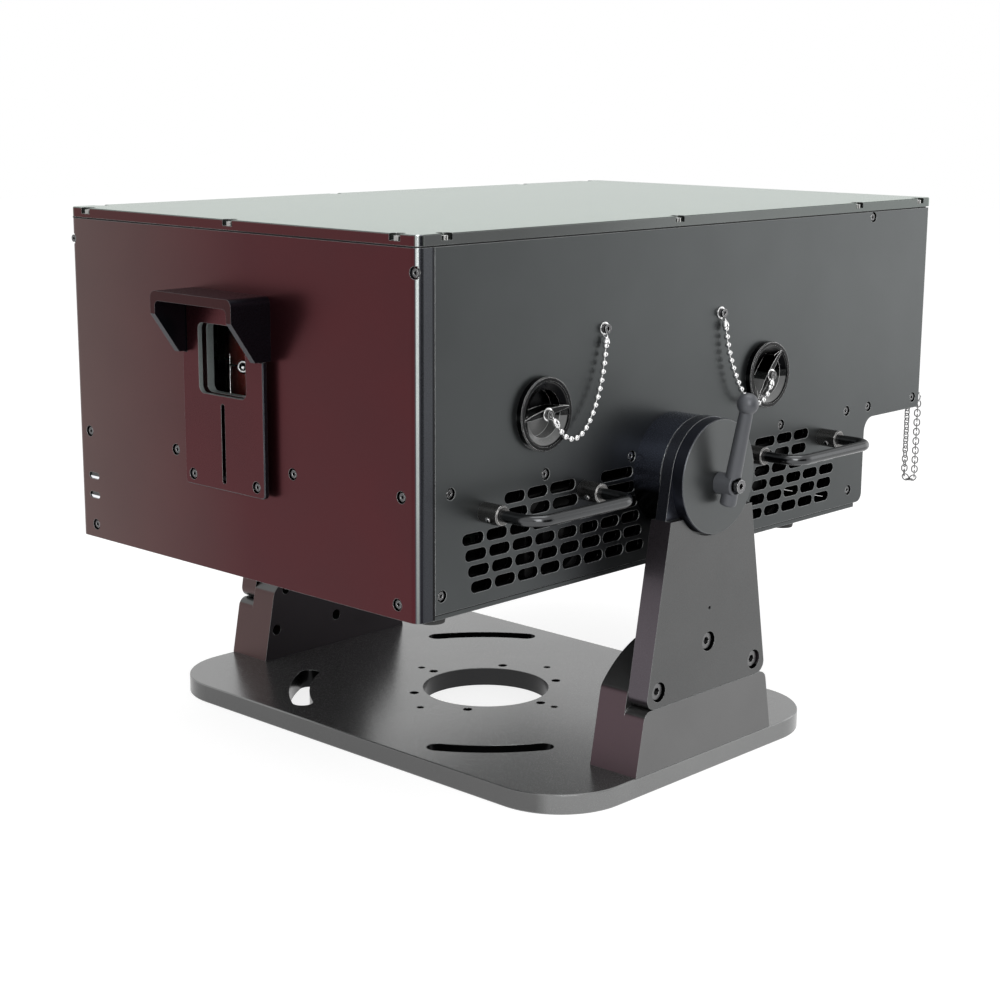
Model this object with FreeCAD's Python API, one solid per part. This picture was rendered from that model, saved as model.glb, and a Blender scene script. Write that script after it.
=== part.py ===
import FreeCAD, Part
import math
import os

Vector = FreeCAD.Vector
X = Vector(1, 0, 0)
Y = Vector(0, 1, 0)
Z = Vector(0, 0, 1)

# Laser show projector: a tilting housing on two arms over a flat base plate.
# Millimetres. The origin is the middle of the base plate's centre hole, on the underside.
# The beam leaves towards -Y, and +X is the side with the access ports.

# Fits, the reach of a cut past a face and the slack when faces are compared
seam = 0.3
running = 0.05
cut_over = 1.0
touch = 1e-6

# Socket screws: head radius, head height and shank radius
small_head_radius = 2.75
small_head_height = 3.0
small_shank_radius = 1.5
lid_head_radius = 2.4
lid_head_height = 3.0
lid_shank_radius = 1.25
large_head_radius = 6.0
large_head_height = 8.0
large_shank_radius = 4.0
counterbore_room = 1.4
hex_share = 0.52
hex_depth_share = 0.6
head_sink_share = 0.28

# Base plate
base_depth = 315.0
base_thickness = 15.0
base_corner = 57.0
base_edge_chamfer = 0.8
centre_hole_radius = 51.5
inner_ring_margin = 9.0
inner_ring_count = 6
inner_ring_hole_radius = 3.75
outer_ring_step = 14.5
outer_ring_count = 4
outer_ring_hole_radius = 3.0
slot_ring_margin = 5.5
slot_count = 4
slot_width = 16.5
slot_half_angle = 15.0
base_gap = 141.5

# Housing
housing_width = 370.0
housing_height = 250.0
lower_length = 516.0
overhang_length = 83.0
overhang_lip = 2.0
lid_overhang = 5.0
lid_thickness = 7.2
lid_chamfer = 0.6
lid_rear_chamfer = 4.0
gasket_thickness = 1.0
gasket_inset = 1.5
panel_thickness = 5.0
panel_rise = 3.0
overhang_inner_radius = 12.0
lower_rear_radius = 7.0
upper_rear_radius = 3.0
front_depth = 15.6
front_wall = 6.0
front_rim = 10.0
front_low_rim = 16.0
front_rib = 4.0
corner_radius = 6.0
flange_depth = 18.0
flange_thickness = 8.0
bench_rise = 75.0
bench_thickness = 14.0
rear_wall = 6.0
lower_rear_wall = 4.0
lower_rear_inset = 4.0
cover_thickness = 4.0
cover_inset = 1.5
cover_end = 9.0
housing_foot_radius = 10.0
housing_foot_height = 5.0
housing_foot_taper = 1.0
housing_foot_inset = 15.5
housing_foot_front = 27.5
housing_foot_rear = 91.5

# Screws on the housing
bench_screw_front = 30.0
bench_screw_rear = 27.0
bench_screw_count = 6
overhang_screw_front = 5.0
overhang_screw_rear = 9.5
low_screw_front = 22.0
low_screw_rear = 20.0
low_screw_rise = 15.0
lug_screw_drop = 12.5
lug_size = 14.0
front_screw_outer = 15.0
front_screw_middle = 64.0
front_low_screw_inset = 19.0
front_low_screw_rise = 10.0
front_low_screw_length = 14.0
corner_screw_drop = 23.5
side_screw_length = 16.0
front_screw_length = 26.0
lid_screw_length = 14.0
lid_counterbore_radius = 5.5
lid_counterbore_depth = 4.5
lid_screw_front = 26.6
lid_screw_shift = 5.0
lid_screw_step = 21.4
lid_screw_rear = 13.0
lid_front_screw_inset = 20.0

# Vents in the side panels, front grille measured from the front face
vent_length = 20.4
vent_height = 8.0
vent_pitch = 22.8
vent_row_pitch = 11.1
vent_row_shift = 2.75
vent_rows = 6
vent_middle_gap = 20.0
vent_top_rise = 71.0
vent_start = 35.25
vent_stretch = 6.0
vent_collar_gap = 18.0

# Handles
handle_radius = 4.0
handle_reach = 46.0
handle_bend = 13.0
handle_spacing = 100.0
handle_inset = 62.0
handle_rise = 65.0
collar_radius = 7.0
collar_length = 17.0
collar_chamfer = 0.8
set_screw_radius = 1.7
set_screw_out = 0.5
set_screw_dip = 26.0

# Tilt pivot, clamp and arms
pivot_rise = 67.0
arm_gap = 22.0
arm_thickness = 18.0
arm_head_radius = 42.5
arm_foot_inset = 9.5
arm_foot_corner = 8.0
arm_screw_inset = 14.5
arm_screw_low = 12.0
arm_screw_high = 38.0
arm_screw_length = 34.0
arm_pin_rise = 63.0
arm_pin_radius = 1.5
arm_pin_depth = 6.0
arm_shoulder_drop = 27.0
arm_relief = 3.8
drum_radius = 42.0
drum_groove = 0.5
spigot_radius = 15.0
disc_radius = 42.0
disc_thickness = 10.0
disc_chamfer = 0.6
pocket_depth = 5.0
pocket_room = 1.5
clamp_drop = 4.3
lever_hub_radius = 8.0
lever_hub_length = 15.2
lever_hub_round = 1.2
lever_offset = 10.9
lever_lean = 11.2
lever_low_radius = 6.1
lever_high_radius = 4.9
lever_length = 61.0
lever_stub = 15.5
lever_ball_radius = 7.8
lever_recess_radius = 6.2
lever_recess_depth = 2.2
lever_edge_round = 2.0
clamp_head_radius = 4.8
clamp_head_height = 6.4
clamp_shank_radius = 3.0

# Foot blocks
block_half_length = 81.0
block_step = 47.0
block_slope = 0.185
block_corner = 8.0
block_under = 3.0
dome_radius = 90.0
dome_height = 91.5
dome_round = 10.0
block_hole_radius = 4.5
block_hole_depth = 18.0
block_hole_rise = 25.5
block_hole_inset = 13.0
drill_tip_share = 0.6
base_screw_inset = 26.0
base_screw_length = 34.0

# Aperture on the front panel
aperture_inset = 0.25
aperture_low = 62.0
aperture_face = 7.5
aperture_thickness = 3.5
aperture_corner = 3.0
aperture_chamfer = 0.6
window_width = 51.0
window_height = 49.5
window_rise = 153.7
window_corner = 5.0
window_margin = 6.0
window_thickness = 3.0
guide_slot_width = 4.0
guide_slot_low = 67.0
guide_slot_gap = 5.45
aperture_screw_inset = 8.8
aperture_screw_rise = 69.5
spacer_radius = 4.0
hood_margin = 18.25
hood_top = 201.0
hood_low = 157.0
hood_knee = 185.0
hood_reach = 34.0
hood_low_reach = 14.0
hood_roof = 6.7
hood_wall = 5.0
hood_corner = 5.0
hood_inner_corner = 4.0
mask_lap = 1.5
mask_drop = 1.95
mask_rest_rise = 66.0
mask_play = 0.4
mask_pin_radius = 1.75
mask_pin_rise = 4.0
mask_pin_short = 0.7

# Indicator slots low on the front panel
indicator_inset = 18.4
indicator_rises = (48.0, 33.0)
indicator_length = 12.5
indicator_height = 5.0
indicator_sink = 1.2

# Access-port caps and their chains: ports from the front face and from the lower rear edge
port_front = 117.0
port_rear = 143.0
port_rise = 124.5
port_hole_radius = 19.0
cap_lap = 6.5
cap_height = 5.0
cap_chamfer = 0.6
cap_rim = 3.0
cap_dish = 3.3
cap_wall = 2.5
cap_floor = 2.0
cap_fin_rise = 3.4
cap_fin_dip = 1.2
cap_fin_angles = (7.0, 51.0)
cap_stud_radius = 2.2
cap_stud_head_radius = 3.2
cap_stud_head_height = 2.0
bayonet_reach = 3.0
bayonet_half_angle = 18.0
bayonet_room_angle = 2.0
bayonet_thickness = 3.0
anchor_shift_front = 64.0
anchor_shift_rear = -58.5
anchor_above_port = 52.0
anchor_head_radius = 3.2
anchor_head_height = 3.0
anchor_shank_radius = 2.0
anchor_shank_length = 8.0
tab_ring_radius = 4.7
tab_thickness = 0.8
tab_width = 4.0
coupling_wall = 0.35
anchor_coupling_length = 3.4
cap_coupling_length = 2.0
ball_chain_diameter = 4.5
link_chain_diameter = 4.2
bend_share = 0.45

# Ball chain from its anchor to the front cap: out from the panel, back and up from the port's middle
front_chain = (
    (3.6, 62.0, 43.5),
    (4.3, 59.8, 31.5),
    (5.2, 56.3, 19.5),
    (6.2, 51.3, 7.5),
    (7.2, 44.8, -4.0),
    (8.2, 36.5, -14.0),
    (9.0, 26.5, -19.7),
    (9.3, 16.2, -18.5),
    (9.2, 9.0, -12.5),
    (8.8, 4.2, -5.5),
)
# Ball chain to the rear cap, measured the same way
rear_chain = (
    (3.6, -57.2, 43.5),
    (4.3, -55.5, 31.5),
    (5.2, -52.6, 19.5),
    (6.2, -48.4, 8.0),
    (7.2, -43.0, -3.0),
    (8.2, -36.0, -12.5),
    (9.0, -26.8, -18.9),
    (9.3, -16.5, -19.1),
    (9.2, -8.8, -13.7),
    (8.8, -3.8, -5.9),
)
# Link chain hanging behind the rear panel: in from the side, back from the rear panel, height
link_chain = (
    (4.4, 7.0, 76.0),
    (4.4, 7.0, 9.2),
    (9.4, 7.0, 6.0),
    (14.4, 7.0, 9.2),
    (14.4, 7.0, 92.0),
)

# Optics on the bench
scan_gap = 18.3
scan_back = 48.0
motor_radius = 9.0
motor_length = 44.0
motor_shaft_radius = 1.5
motor_shaft_length = 10.0
mirror_thickness = 1.5
mirror_x_size = (16.0, 10.0)
mirror_y_size = (24.0, 15.0)
block_wall = 5.0
scan_foot_height = 12.0
laser_width = 58.0
laser_length = 150.0
laser_over_beam = 13.0
laser_rear_gap = 63.0
laser_side_gap = 61.0
laser_count = 3
laser_nose_radius = 9.0
laser_nose_length = 14.0
laser_fin_depth = 6.0
laser_fin_count = 8
mount_post_radius = 8.0
mount_foot = 30.0
mount_foot_height = 8.0
mount_plate = 26.0
mount_plate_thickness = 8.0
mount_bore_radius = 7.7
combiner_radius = 11.0
combiner_thickness = 3.0
combiner_gap = 130.0
fold_inset = 34.0
fold_step = 56.0
solenoid_size = 30.0
solenoid_x = -62.0
shutter_axis_drop = 32.0
shutter_shaft_radius = 2.0
flag_thickness = 2.0
flag_width = 16.0
flag_over = 9.0
flag_corner = 4.8

# Electronics under the bench
supply_width = 110.0
supply_length = 200.0
supply_height = 48.0
supply_rear_gap = 28.0
supply_x = -70.0
board_width = 90.0
board_length = 130.0
board_thickness = 1.6
board_height = 10.0
board_post_radius = 3.0
board_part_height = 14.0
board_back = 45.0
board_pitch = 100.0
board_count = 2
board_x = -70.0
fan_low_gap = 5.0
fan_high_gap = 7.0
fan_depth = 25.0
fan_wall = 1.5
fan_inset = 137.0
fan_hub_radius = 11.0
fan_blade_gap = 0.7
fan_blades = 7
fan_blade_thickness = 1.4
fan_blade_width = 16.6
fan_blade_twist = 35.0
fan_strut = 3.0
fan_struts = 3
fan_pin_radius = 1.5

# Sockets and key switch on the rear panel, from the middle and the housing's bottom
round_socket_inset = 27.0
round_socket_rise = 116.0
round_socket_radius = 12.0
dust_cap_radius = 14.5
dust_cap_length = 15.0
data_socket_x = 60.0
data_socket_rise = 150.0
data_socket_width = 54.0
data_socket_height = 14.0
data_socket_length = 7.0
data_flange = 4.0
inlet_inset = 55.0
inlet_rise = 130.0
inlet_radius = 12.0
inlet_flange = 30.0
inlet_length = 10.0
inlet_wall = 2.5
inlet_depth = 22.0
key_x = -60.0
key_rise = 150.0
key_bezel_radius = 11.0
key_bezel_length = 6.0
key_barrel_radius = 8.0
key_barrel_length = 24.0
key_slot_width = 2.6
key_slot_height = 9.0
key_blade_depth = 12.0
key_bow_radius = 12.0
key_bow_out = 21.6
key_bow_hole = 3.0
rear_stud_rises = (158.0, 138.0)
rear_anchor_rise = 84.0
rear_stud_inset = 5.0
rear_stud_radius = 4.8
rear_stud_length = 7.8

half_width = housing_width / 2
housing_bottom = base_thickness + base_gap
front_y = -lower_length / 2
upper_length = lower_length + overhang_length
panel_inside = half_width - panel_thickness
plate_top = housing_height - lid_thickness - gasket_thickness
gasket_width = panel_thickness - gasket_inset
bench_top_rise = bench_rise + bench_thickness
bench_middle = bench_rise + bench_thickness / 2
overhang_underside = bench_rise - overhang_lip
arm_inner = half_width + arm_gap
arm_outer = arm_inner + arm_thickness
arm_foot_half = block_half_length - arm_foot_inset
arm_screw_half = arm_foot_half - arm_screw_inset
base_width = 2 * arm_outer
inner_ring_radius = centre_hole_radius + inner_ring_margin
outer_ring_radius = inner_ring_radius + outer_ring_step
slot_ring_radius = base_depth / 2 - slot_ring_margin
disc_seat = arm_outer - pocket_depth
disc_face = disc_seat + disc_thickness
handle_outer = lower_length / 2 - handle_inset
handle_inner = handle_outer - handle_spacing
hood_width = window_width + 2 * hood_margin
aperture_width = hood_width - 2 * aperture_inset
aperture_screw_half = aperture_width / 2 - aperture_screw_inset
window_low = window_rise - window_height / 2
guide_slot_high = window_low - guide_slot_gap
mask_width = window_width + 2 * mask_lap
mask_height = window_low - mask_drop - mask_rest_rise
indicator_x = indicator_inset - half_width
port_backs = (port_front, lower_length - port_rear)
anchor_backs = (port_backs[0] + anchor_shift_front, port_backs[1] + anchor_shift_rear)
cap_radius = port_hole_radius + cap_lap
coupling_radius = ball_chain_diameter / 2 + coupling_wall
beam_high = window_rise + scan_gap
laser_height = beam_high + laser_over_beam - bench_top_rise
laser_back = upper_length - rear_wall - laser_rear_gap - laser_length
combiner_row_back = laser_back - combiner_gap
fold_mirror_x = fold_inset - panel_inside
supply_back = lower_length - lower_rear_inset - lower_rear_wall - supply_rear_gap - supply_length
fan_size = bench_rise - panel_rise - fan_low_gap - fan_high_gap
fan_rise = panel_rise + fan_low_gap + fan_size / 2
fan_bore = fan_size / 2 - fan_wall
fan_offset = lower_length / 2 - fan_inset
round_socket_x = half_width - round_socket_inset
inlet_x = inlet_inset - half_width


def above(rise):
    """Height of something given from the housing's bottom."""
    return housing_bottom + rise


def behind(back):
    """Y of something given from the front face."""
    return front_y + back


pivot_z = above(pivot_rise)
clamp_z = pivot_z - clamp_drop
rear_y = behind(upper_length)
small = (small_head_radius, small_head_height, small_shank_radius)
lid_size = (lid_head_radius, lid_head_height, lid_shank_radius)
large = (large_head_radius, large_head_height, large_shank_radius)


# Shape helpers
def box(x, y, z):
    """Block between two limits on each axis."""
    corner = Vector(x[0], y[0], z[0])
    return Part.makeBox(x[1] - x[0], y[1] - y[0], z[1] - z[0], corner)


def rod(radius, start, axis, length):
    return Part.makeCylinder(radius, length, start, axis)


def ring(outer, inner, start, axis, length):
    return rod(outer, start, axis, length).cut(rod(inner, start, axis, length))


def on_yz(x):
    return lambda p: Vector(x, p.x, p.y)


def on_xz(y):
    return lambda p: Vector(p.x, y, p.y)


def on_xy(z):
    return lambda p: Vector(p.x, p.y, z)


def rounded_face(corners, place):
    """Flat face through (u, v, radius) corners; place puts a flat point into space."""
    flat = [Vector(u, v, 0) for u, v, radius in corners]
    edges = []
    spans = []
    for i, (u, v, radius) in enumerate(corners):
        here = flat[i]
        back = (flat[i - 1] - here).normalize()
        ahead = (flat[(i + 1) % len(flat)] - here).normalize()
        half = back.getAngle(ahead) / 2
        reach = radius / math.tan(half)
        inward = (back + ahead).normalize()
        middle = here + inward * (radius / math.sin(half) - radius)
        spans.append((here + back * reach, middle, here + ahead * reach, radius))
    for i, (start, middle, end, radius) in enumerate(spans):
        last = spans[i - 1][2]
        if (start - last).Length > touch:
            edges.append(Part.LineSegment(place(last), place(start)).toShape())
        if radius > 0:
            edges.append(Part.Arc(place(start), place(middle), place(end)).toShape())
    return Part.Face(Part.Wire(edges))


def rectangle(u, v, radius=0.0):
    return [(u[0], v[0], radius), (u[1], v[0], radius), (u[1], v[1], radius), (u[0], v[1], radius)]


def plate_yz(corners, x):
    return rounded_face(corners, on_yz(x[0])).extrude(X * (x[1] - x[0]))


def plate_xz(corners, y):
    return rounded_face(corners, on_xz(y[0])).extrude(Y * (y[1] - y[0]))


def plate_xy(corners, z):
    return rounded_face(corners, on_xy(z[0])).extrude(Z * (z[1] - z[0]))


def mirrored(shape):
    return shape.mirror(Vector(0, 0, 0), X)


def both_sides(shape):
    return [shape, mirrored(shape)]


def at_end(shape, axis, place):
    """Edges of a shape that lie in the plane at one distance along an axis."""
    def lies(vertex):
        return abs(vertex.Point.dot(axis) - place) < touch
    return [edge for edge in shape.Edges if all(lies(vertex) for vertex in edge.Vertexes)]


def hex_prism(radius, start, axis, length):
    """Hexagonal bar from start along axis."""
    side = axis.cross(Z) if axis.cross(Z).Length > touch else axis.cross(X)
    side.normalize()
    other = axis.cross(side)
    points = []
    for i in range(7):
        angle = math.radians(60 * i)
        points.append(start + side * (radius * math.cos(angle)) + other * (radius * math.sin(angle)))
    return Part.Face(Part.makePolygon(points)).extrude(axis * length)


def cap_screw(size, top, axis, length, sink=0.0):
    """Socket screw; top is the middle of the work's face, with the head below it by a share of its height."""
    head_radius, head_height, shank_radius = size
    into = axis * -1
    seat = top + into * head_height
    face = top + into * (head_height * sink)
    head = rod(head_radius, face, into, head_height * (1 - sink))
    shank = rod(shank_radius, seat, into, length - head_height)
    socket = hex_prism(head_radius * hex_share, face, into, head_height * (1 - sink) * hex_depth_share)
    return head.fuse(shank).removeSplitter().cut(socket)


def screw_room(size, top, axis, length):
    """Counterbore and shank hole for a screw."""
    head_radius, head_height, shank_radius = size
    into = axis * -1
    head = rod(head_radius + counterbore_room, top, into, head_height)
    return head.fuse(rod(shank_radius + running, top, into, length + seam))


def bent_bar(points, bend, radius):
    """Round bar through points with one bend radius."""
    return tube(points, radius, lambda run_a, run_b, half: bend)


def cord_bend(run_a, run_b, half_turn):
    """Largest easy radius between two runs of a chain."""
    return bend_share * min(run_a, run_b) / math.tan(half_turn)


def tube(points, radius, bend_rule, name=None):
    """Round bar along straight runs joined by tangent arcs."""
    edges = []
    radii = []
    last = points[0]
    for i in range(1, len(points) - 1):
        here = points[i]
        back = points[i - 1] - here
        ahead = points[i + 1] - here
        run_a = back.Length
        run_b = ahead.Length
        back.normalize()
        ahead.normalize()
        half_turn = (math.pi - back.getAngle(ahead)) / 2
        bend = bend_rule(run_a, run_b, half_turn)
        reach = bend * math.tan(half_turn)
        start = here + back * reach
        end = here + ahead * reach
        inward = (back + ahead).normalize()
        middle = here + inward * (bend / math.cos(half_turn) - bend)
        edges.append(Part.LineSegment(last, start).toShape())
        edges.append(Part.Arc(start, middle, end).toShape())
        radii.append(bend)
        last = end
    edges.append(Part.LineSegment(last, points[-1]).toShape())
    path = Part.Wire(edges)
    direction = points[1] - points[0]
    section = Part.Wire(Part.Circle(points[0], direction, radius).toShape())
    bar = path.makePipeShell([section], True, False)
    if name:
        share = bar.Volume / (math.pi * radius ** 2 * path.Length)
        print(name, "length %.1f mm, volume share %.4f" % (path.Length, share))
        print("  radii", " ".join("%.1f" % value for value in radii))
    return bar


# Base and arms
def base_screw_places():
    middle = (half_width - block_under + arm_outer) / 2
    half = block_half_length - base_screw_inset
    return [Vector(middle, y, 0) for y in (-half, 0, half)]


def base_plate():
    outline = rectangle((-base_width / 2, base_width / 2), (-base_depth / 2, base_depth / 2), base_corner)
    plate = plate_xy(outline, (0, base_thickness))
    rims = at_end(plate, Z, 0) + at_end(plate, Z, base_thickness)
    plate = plate.makeChamfer(base_edge_chamfer, rims)
    cuts = [rod(centre_hole_radius, Vector(0, 0, 0), Z, base_thickness)]
    rings = (
        (inner_ring_count, inner_ring_radius, inner_ring_hole_radius),
        (outer_ring_count, outer_ring_radius, outer_ring_hole_radius),
    )
    for count, ring_radius, hole_radius in rings:
        for i in range(count):
            angle = 2 * math.pi * i / count
            place = Vector(ring_radius * math.cos(angle), ring_radius * math.sin(angle), 0)
            cuts.append(rod(hole_radius, place, Z, base_thickness))
    for i in range(slot_count):
        cuts.append(arc_slot(360 * (i + 0.5) / slot_count))
    for place in base_screw_places():
        hole = screw_room(large, place, Z * -1, base_screw_length)
        cuts += both_sides(hole)
    return plate.cut(cuts)


def arc_slot(middle):
    """Curved slot through the base plate, centred at an angle."""
    def at(radius, degrees):
        angle = math.radians(degrees)
        return Vector(radius * math.cos(angle), radius * math.sin(angle), 0)
    first = middle - slot_half_angle
    last = middle + slot_half_angle
    inner = slot_ring_radius - slot_width / 2
    outer = slot_ring_radius + slot_width / 2
    beyond = math.degrees(slot_width / 2 / slot_ring_radius)
    edges = [
        Part.Arc(at(outer, first), at(outer, middle), at(outer, last)).toShape(),
        Part.Arc(at(outer, last), at(slot_ring_radius, last + beyond), at(inner, last)).toShape(),
        Part.Arc(at(inner, last), at(inner, middle), at(inner, first)).toShape(),
        Part.Arc(at(inner, first), at(slot_ring_radius, first - beyond), at(outer, first)).toShape(),
    ]
    return Part.Face(Part.Wire(edges)).extrude(Z * base_thickness)


def arm_screw_tops():
    low = base_thickness + block_step + arm_screw_low
    high = base_thickness + block_step + arm_screw_high
    places = ((-arm_screw_half, low), (arm_screw_half, low), (0, high))
    return [Vector(arm_outer, y, z) for y, z in places]


def foot_block():
    inner_x = half_width - block_under
    floor = base_thickness
    step_z = floor + block_step
    top_z = floor + dome_height
    step_half = block_half_length - block_slope * block_step
    top_half = block_half_length - block_slope * dome_height
    low = [
        (-block_half_length, floor, 0),
        (block_half_length, floor, 0),
        (step_half, step_z, block_corner),
        (-step_half, step_z, block_corner),
    ]
    high = [
        (-block_half_length, floor, 0),
        (block_half_length, floor, 0),
        (top_half, top_z, 0),
        (-top_half, top_z, 0),
    ]
    dome = rod(dome_radius, Vector(inner_x, 0, top_z - dome_radius), X, arm_inner - inner_x)
    inner = plate_yz(high, (inner_x, arm_inner)).common(dome)
    shoulders = []
    for edge in inner.Edges:
        span = edge.BoundBox
        if span.YLength < touch and span.ZLength < touch and span.ZMin > floor + touch:
            shoulders.append(edge)
    inner = inner.makeFillet(dome_round, shoulders)
    block = plate_yz(low, (inner_x, arm_outer)).fuse(inner).removeSplitter()
    cuts = []
    hole_half = block_half_length - block_hole_inset
    for y in (-hole_half, 0, hole_half):
        start = Vector(inner_x, y, floor + block_hole_rise)
        cuts.append(rod(block_hole_radius, start, X, block_hole_depth))
        tip = start + X * block_hole_depth
        cuts.append(Part.makeCone(block_hole_radius, 0, block_hole_radius * drill_tip_share, tip, X))
    for top in arm_screw_tops():
        cuts.append(rod(large_shank_radius + running, Vector(inner_x, top.y, top.z), X, arm_outer - inner_x))
    for place in base_screw_places():
        cuts.append(screw_room(large, place, Z * -1, base_screw_length))
    return block.cut(cuts)


def arm():
    bottom = base_thickness + block_step + seam
    foot = Vector(arm_foot_half, bottom, 0)
    away = Vector(arm_foot_half, bottom - pivot_z, 0)
    turn = math.atan2(away.y, away.x) + math.acos(arm_head_radius / away.Length)
    touch_y = arm_head_radius * math.cos(turn)
    touch_z = pivot_z + arm_head_radius * math.sin(turn)
    sides = [
        (-foot.x, foot.y, arm_foot_corner),
        (foot.x, foot.y, arm_foot_corner),
        (touch_y, touch_z, 0),
        (-touch_y, touch_z, 0),
    ]
    pivot = Vector(arm_inner, 0, pivot_z)
    body = plate_yz(sides, (arm_inner, arm_outer))
    body = body.fuse(rod(arm_head_radius, pivot, X, arm_thickness)).removeSplitter()
    wide = (-arm_foot_half, arm_foot_half)
    high = (pivot_z - arm_shoulder_drop, pivot_z + arm_head_radius + pocket_room)
    cuts = [
        rod(spigot_radius + running, pivot, X, arm_thickness),
        rod(drum_radius + pocket_room, pivot, X, arm_relief),
        rod(disc_radius + pocket_room, Vector(disc_seat, 0, pivot_z), X, pocket_depth),
        box((arm_inner, arm_inner + arm_relief), wide, high),
        box((disc_seat, arm_outer), wide, high),
        rod(arm_pin_radius, Vector(arm_outer - arm_pin_depth, 0, bottom + arm_pin_rise), X, arm_pin_depth),
    ]
    cuts += [screw_room(large, top, X, arm_screw_length) for top in arm_screw_tops()]
    return body.cut(cuts)


def clamp_disc():
    start = Vector(disc_seat, 0, pivot_z)
    disc = rod(disc_radius, start, X, disc_thickness)
    disc = disc.makeChamfer(disc_chamfer, at_end(disc, X, disc_face))
    return disc.cut(rod(clamp_shank_radius + running, Vector(disc_seat, 0, clamp_z), X, disc_thickness))


def pivot_drum():
    """Boss on the housing's side with the spigot that turns in the arm."""
    start = Vector(half_width, 0, pivot_z)
    length = arm_inner + arm_relief - seam - half_width
    drum = rod(drum_radius, start, X, length)
    groove_at = start + X * (length - 2 * drum_groove)
    groove = ring(drum_radius, drum_radius - drum_groove, groove_at, X, drum_groove)
    spigot = rod(spigot_radius, start + X * length, X, disc_seat - seam - half_width - length)
    return drum.cut(groove).fuse(spigot).removeSplitter()


def clamp_lever():
    """Hub on the clamp screw with a leaning ball-ended lever."""
    base = Vector(disc_face + seam, 0, clamp_z)
    hub = rod(lever_hub_radius, base, X, lever_hub_length)
    hub = hub.makeFillet(lever_hub_round, at_end(hub, X, base.x + lever_hub_length))
    lean = math.radians(lever_lean)
    up = Vector(math.sin(lean), 0, math.cos(lean))
    cross = base + X * lever_offset
    foot = cross - up * lever_stub
    shaft = Part.makeCone(lever_low_radius, lever_high_radius, lever_stub + lever_length, foot, up)
    shaft = shaft.makeFillet(lever_edge_round, at_end(shaft, up, foot.dot(up)))
    ball = Part.makeSphere(lever_ball_radius, cross + up * lever_length)
    lever = hub.fuse([shaft, ball]).removeSplitter()
    floor = base + X * (lever_hub_length - lever_recess_depth)
    lever = lever.cut(rod(lever_recess_radius, floor, X, lever_recess_depth + lever_low_radius))
    return lever.cut(rod(clamp_shank_radius + running, base, X, lever_hub_length))


def clamp_screw():
    seat = disc_face + seam + lever_hub_length - lever_recess_depth
    top = Vector(seat + clamp_head_height, 0, clamp_z)
    size = (clamp_head_radius, clamp_head_height, clamp_shank_radius)
    return cap_screw(size, top, X, top.x - disc_seat)


# Housing shell
def bench_screw_backs():
    """Distances from the front of the screws in the bench's long edges."""
    last = lower_length - bench_screw_rear
    step = (last - bench_screw_front) / (bench_screw_count - 1)
    row = [bench_screw_front + step * i for i in range(bench_screw_count)]
    return row + [lower_length + overhang_screw_front, upper_length - overhang_screw_rear]


def side_screw_tops():
    tops = [Vector(half_width, behind(back), above(bench_middle)) for back in bench_screw_backs()]
    tops.append(Vector(half_width, behind(low_screw_front), above(low_screw_rise)))
    tops.append(Vector(half_width, behind(lower_length - low_screw_rear), above(low_screw_rise)))
    tops.append(Vector(half_width, behind(lower_length), above(housing_height - lug_screw_drop)))
    return tops


def front_screw_tops():
    outer = half_width - front_screw_outer
    return [Vector(x, front_y, above(bench_middle)) for x in (front_screw_middle, outer)]


def front_low_screw_tops():
    return [Vector(half_width - front_low_screw_inset, front_y, above(front_low_screw_rise))]


def corner_screw_tops():
    return [Vector(half_width - panel_thickness / 2, front_y, above(housing_height - corner_screw_drop))]


def lid_screw_backs():
    """Distances from the front of the screws along the lid's sides."""
    return (
        lid_screw_front,
        lower_length / 2 + lid_screw_shift,
        lower_length - lid_screw_step,
        upper_length - lid_screw_rear,
    )


def lid_screw_tops():
    z = above(housing_height - lid_counterbore_depth) + lid_head_height
    side = half_width - panel_thickness / 2
    tops = [Vector(side, behind(back), z) for back in lid_screw_backs()]
    tops.append(Vector(half_width - lid_front_screw_inset, front_y + panel_thickness / 2, z))
    return tops


def middle_lid_screw_top():
    z = above(housing_height - lid_counterbore_depth) + lid_head_height
    return Vector(0, front_y + panel_thickness / 2, z)


def vent_slots():
    """Staggered obround vents of the front grille and their mirror image at the rear."""
    spans = []
    collar = lower_length / 2 - handle_inner
    last_shift = vent_row_shift * (vent_rows - 1)
    vent_columns = int((lower_length / 2 - vent_start - last_shift - vent_middle_gap) / vent_pitch)
    for row in range(vent_rows):
        start = vent_start + vent_row_shift * row
        rise = vent_top_rise - vent_row_pitch * row
        columns = [start + vent_pitch * i for i in range(vent_columns)]
        if abs(rise - handle_rise) > collar_radius:
            spans += [(left, left + vent_length, rise) for left in columns]
            continue
        spans += [(left, left + vent_length, rise) for left in columns[2:4]]
        spans.append((columns[4], columns[4] + vent_length + vent_stretch, rise))
        past_collar = collar + vent_collar_gap
        row_end = columns[-1] + vent_length
        if row_end - past_collar > vent_height:
            spans.append((past_collar, row_end, rise))
    slots = []
    for left, right, rise in spans:
        for ends in ((behind(left), behind(right)), (-behind(right), -behind(left))):
            heights = (above(rise - vent_height / 2), above(rise + vent_height / 2))
            outline = rectangle(ends, heights, vent_height / 2)
            slots.append(plate_yz(outline, (panel_inside, half_width)))
    return slots


def port_places():
    return [Vector(panel_inside, behind(back), above(port_rise)) for back in port_backs]


def port_hole(place, fin_angle):
    """Round port with two notches that let the cap's bayonet lugs through."""
    hole = rod(port_hole_radius + running, place, X, panel_thickness)
    reach = port_hole_radius + bayonet_reach + seam
    return hole.fuse(bayonet(place, fin_angle + 90, reach, panel_thickness, bayonet_room_angle))


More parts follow.
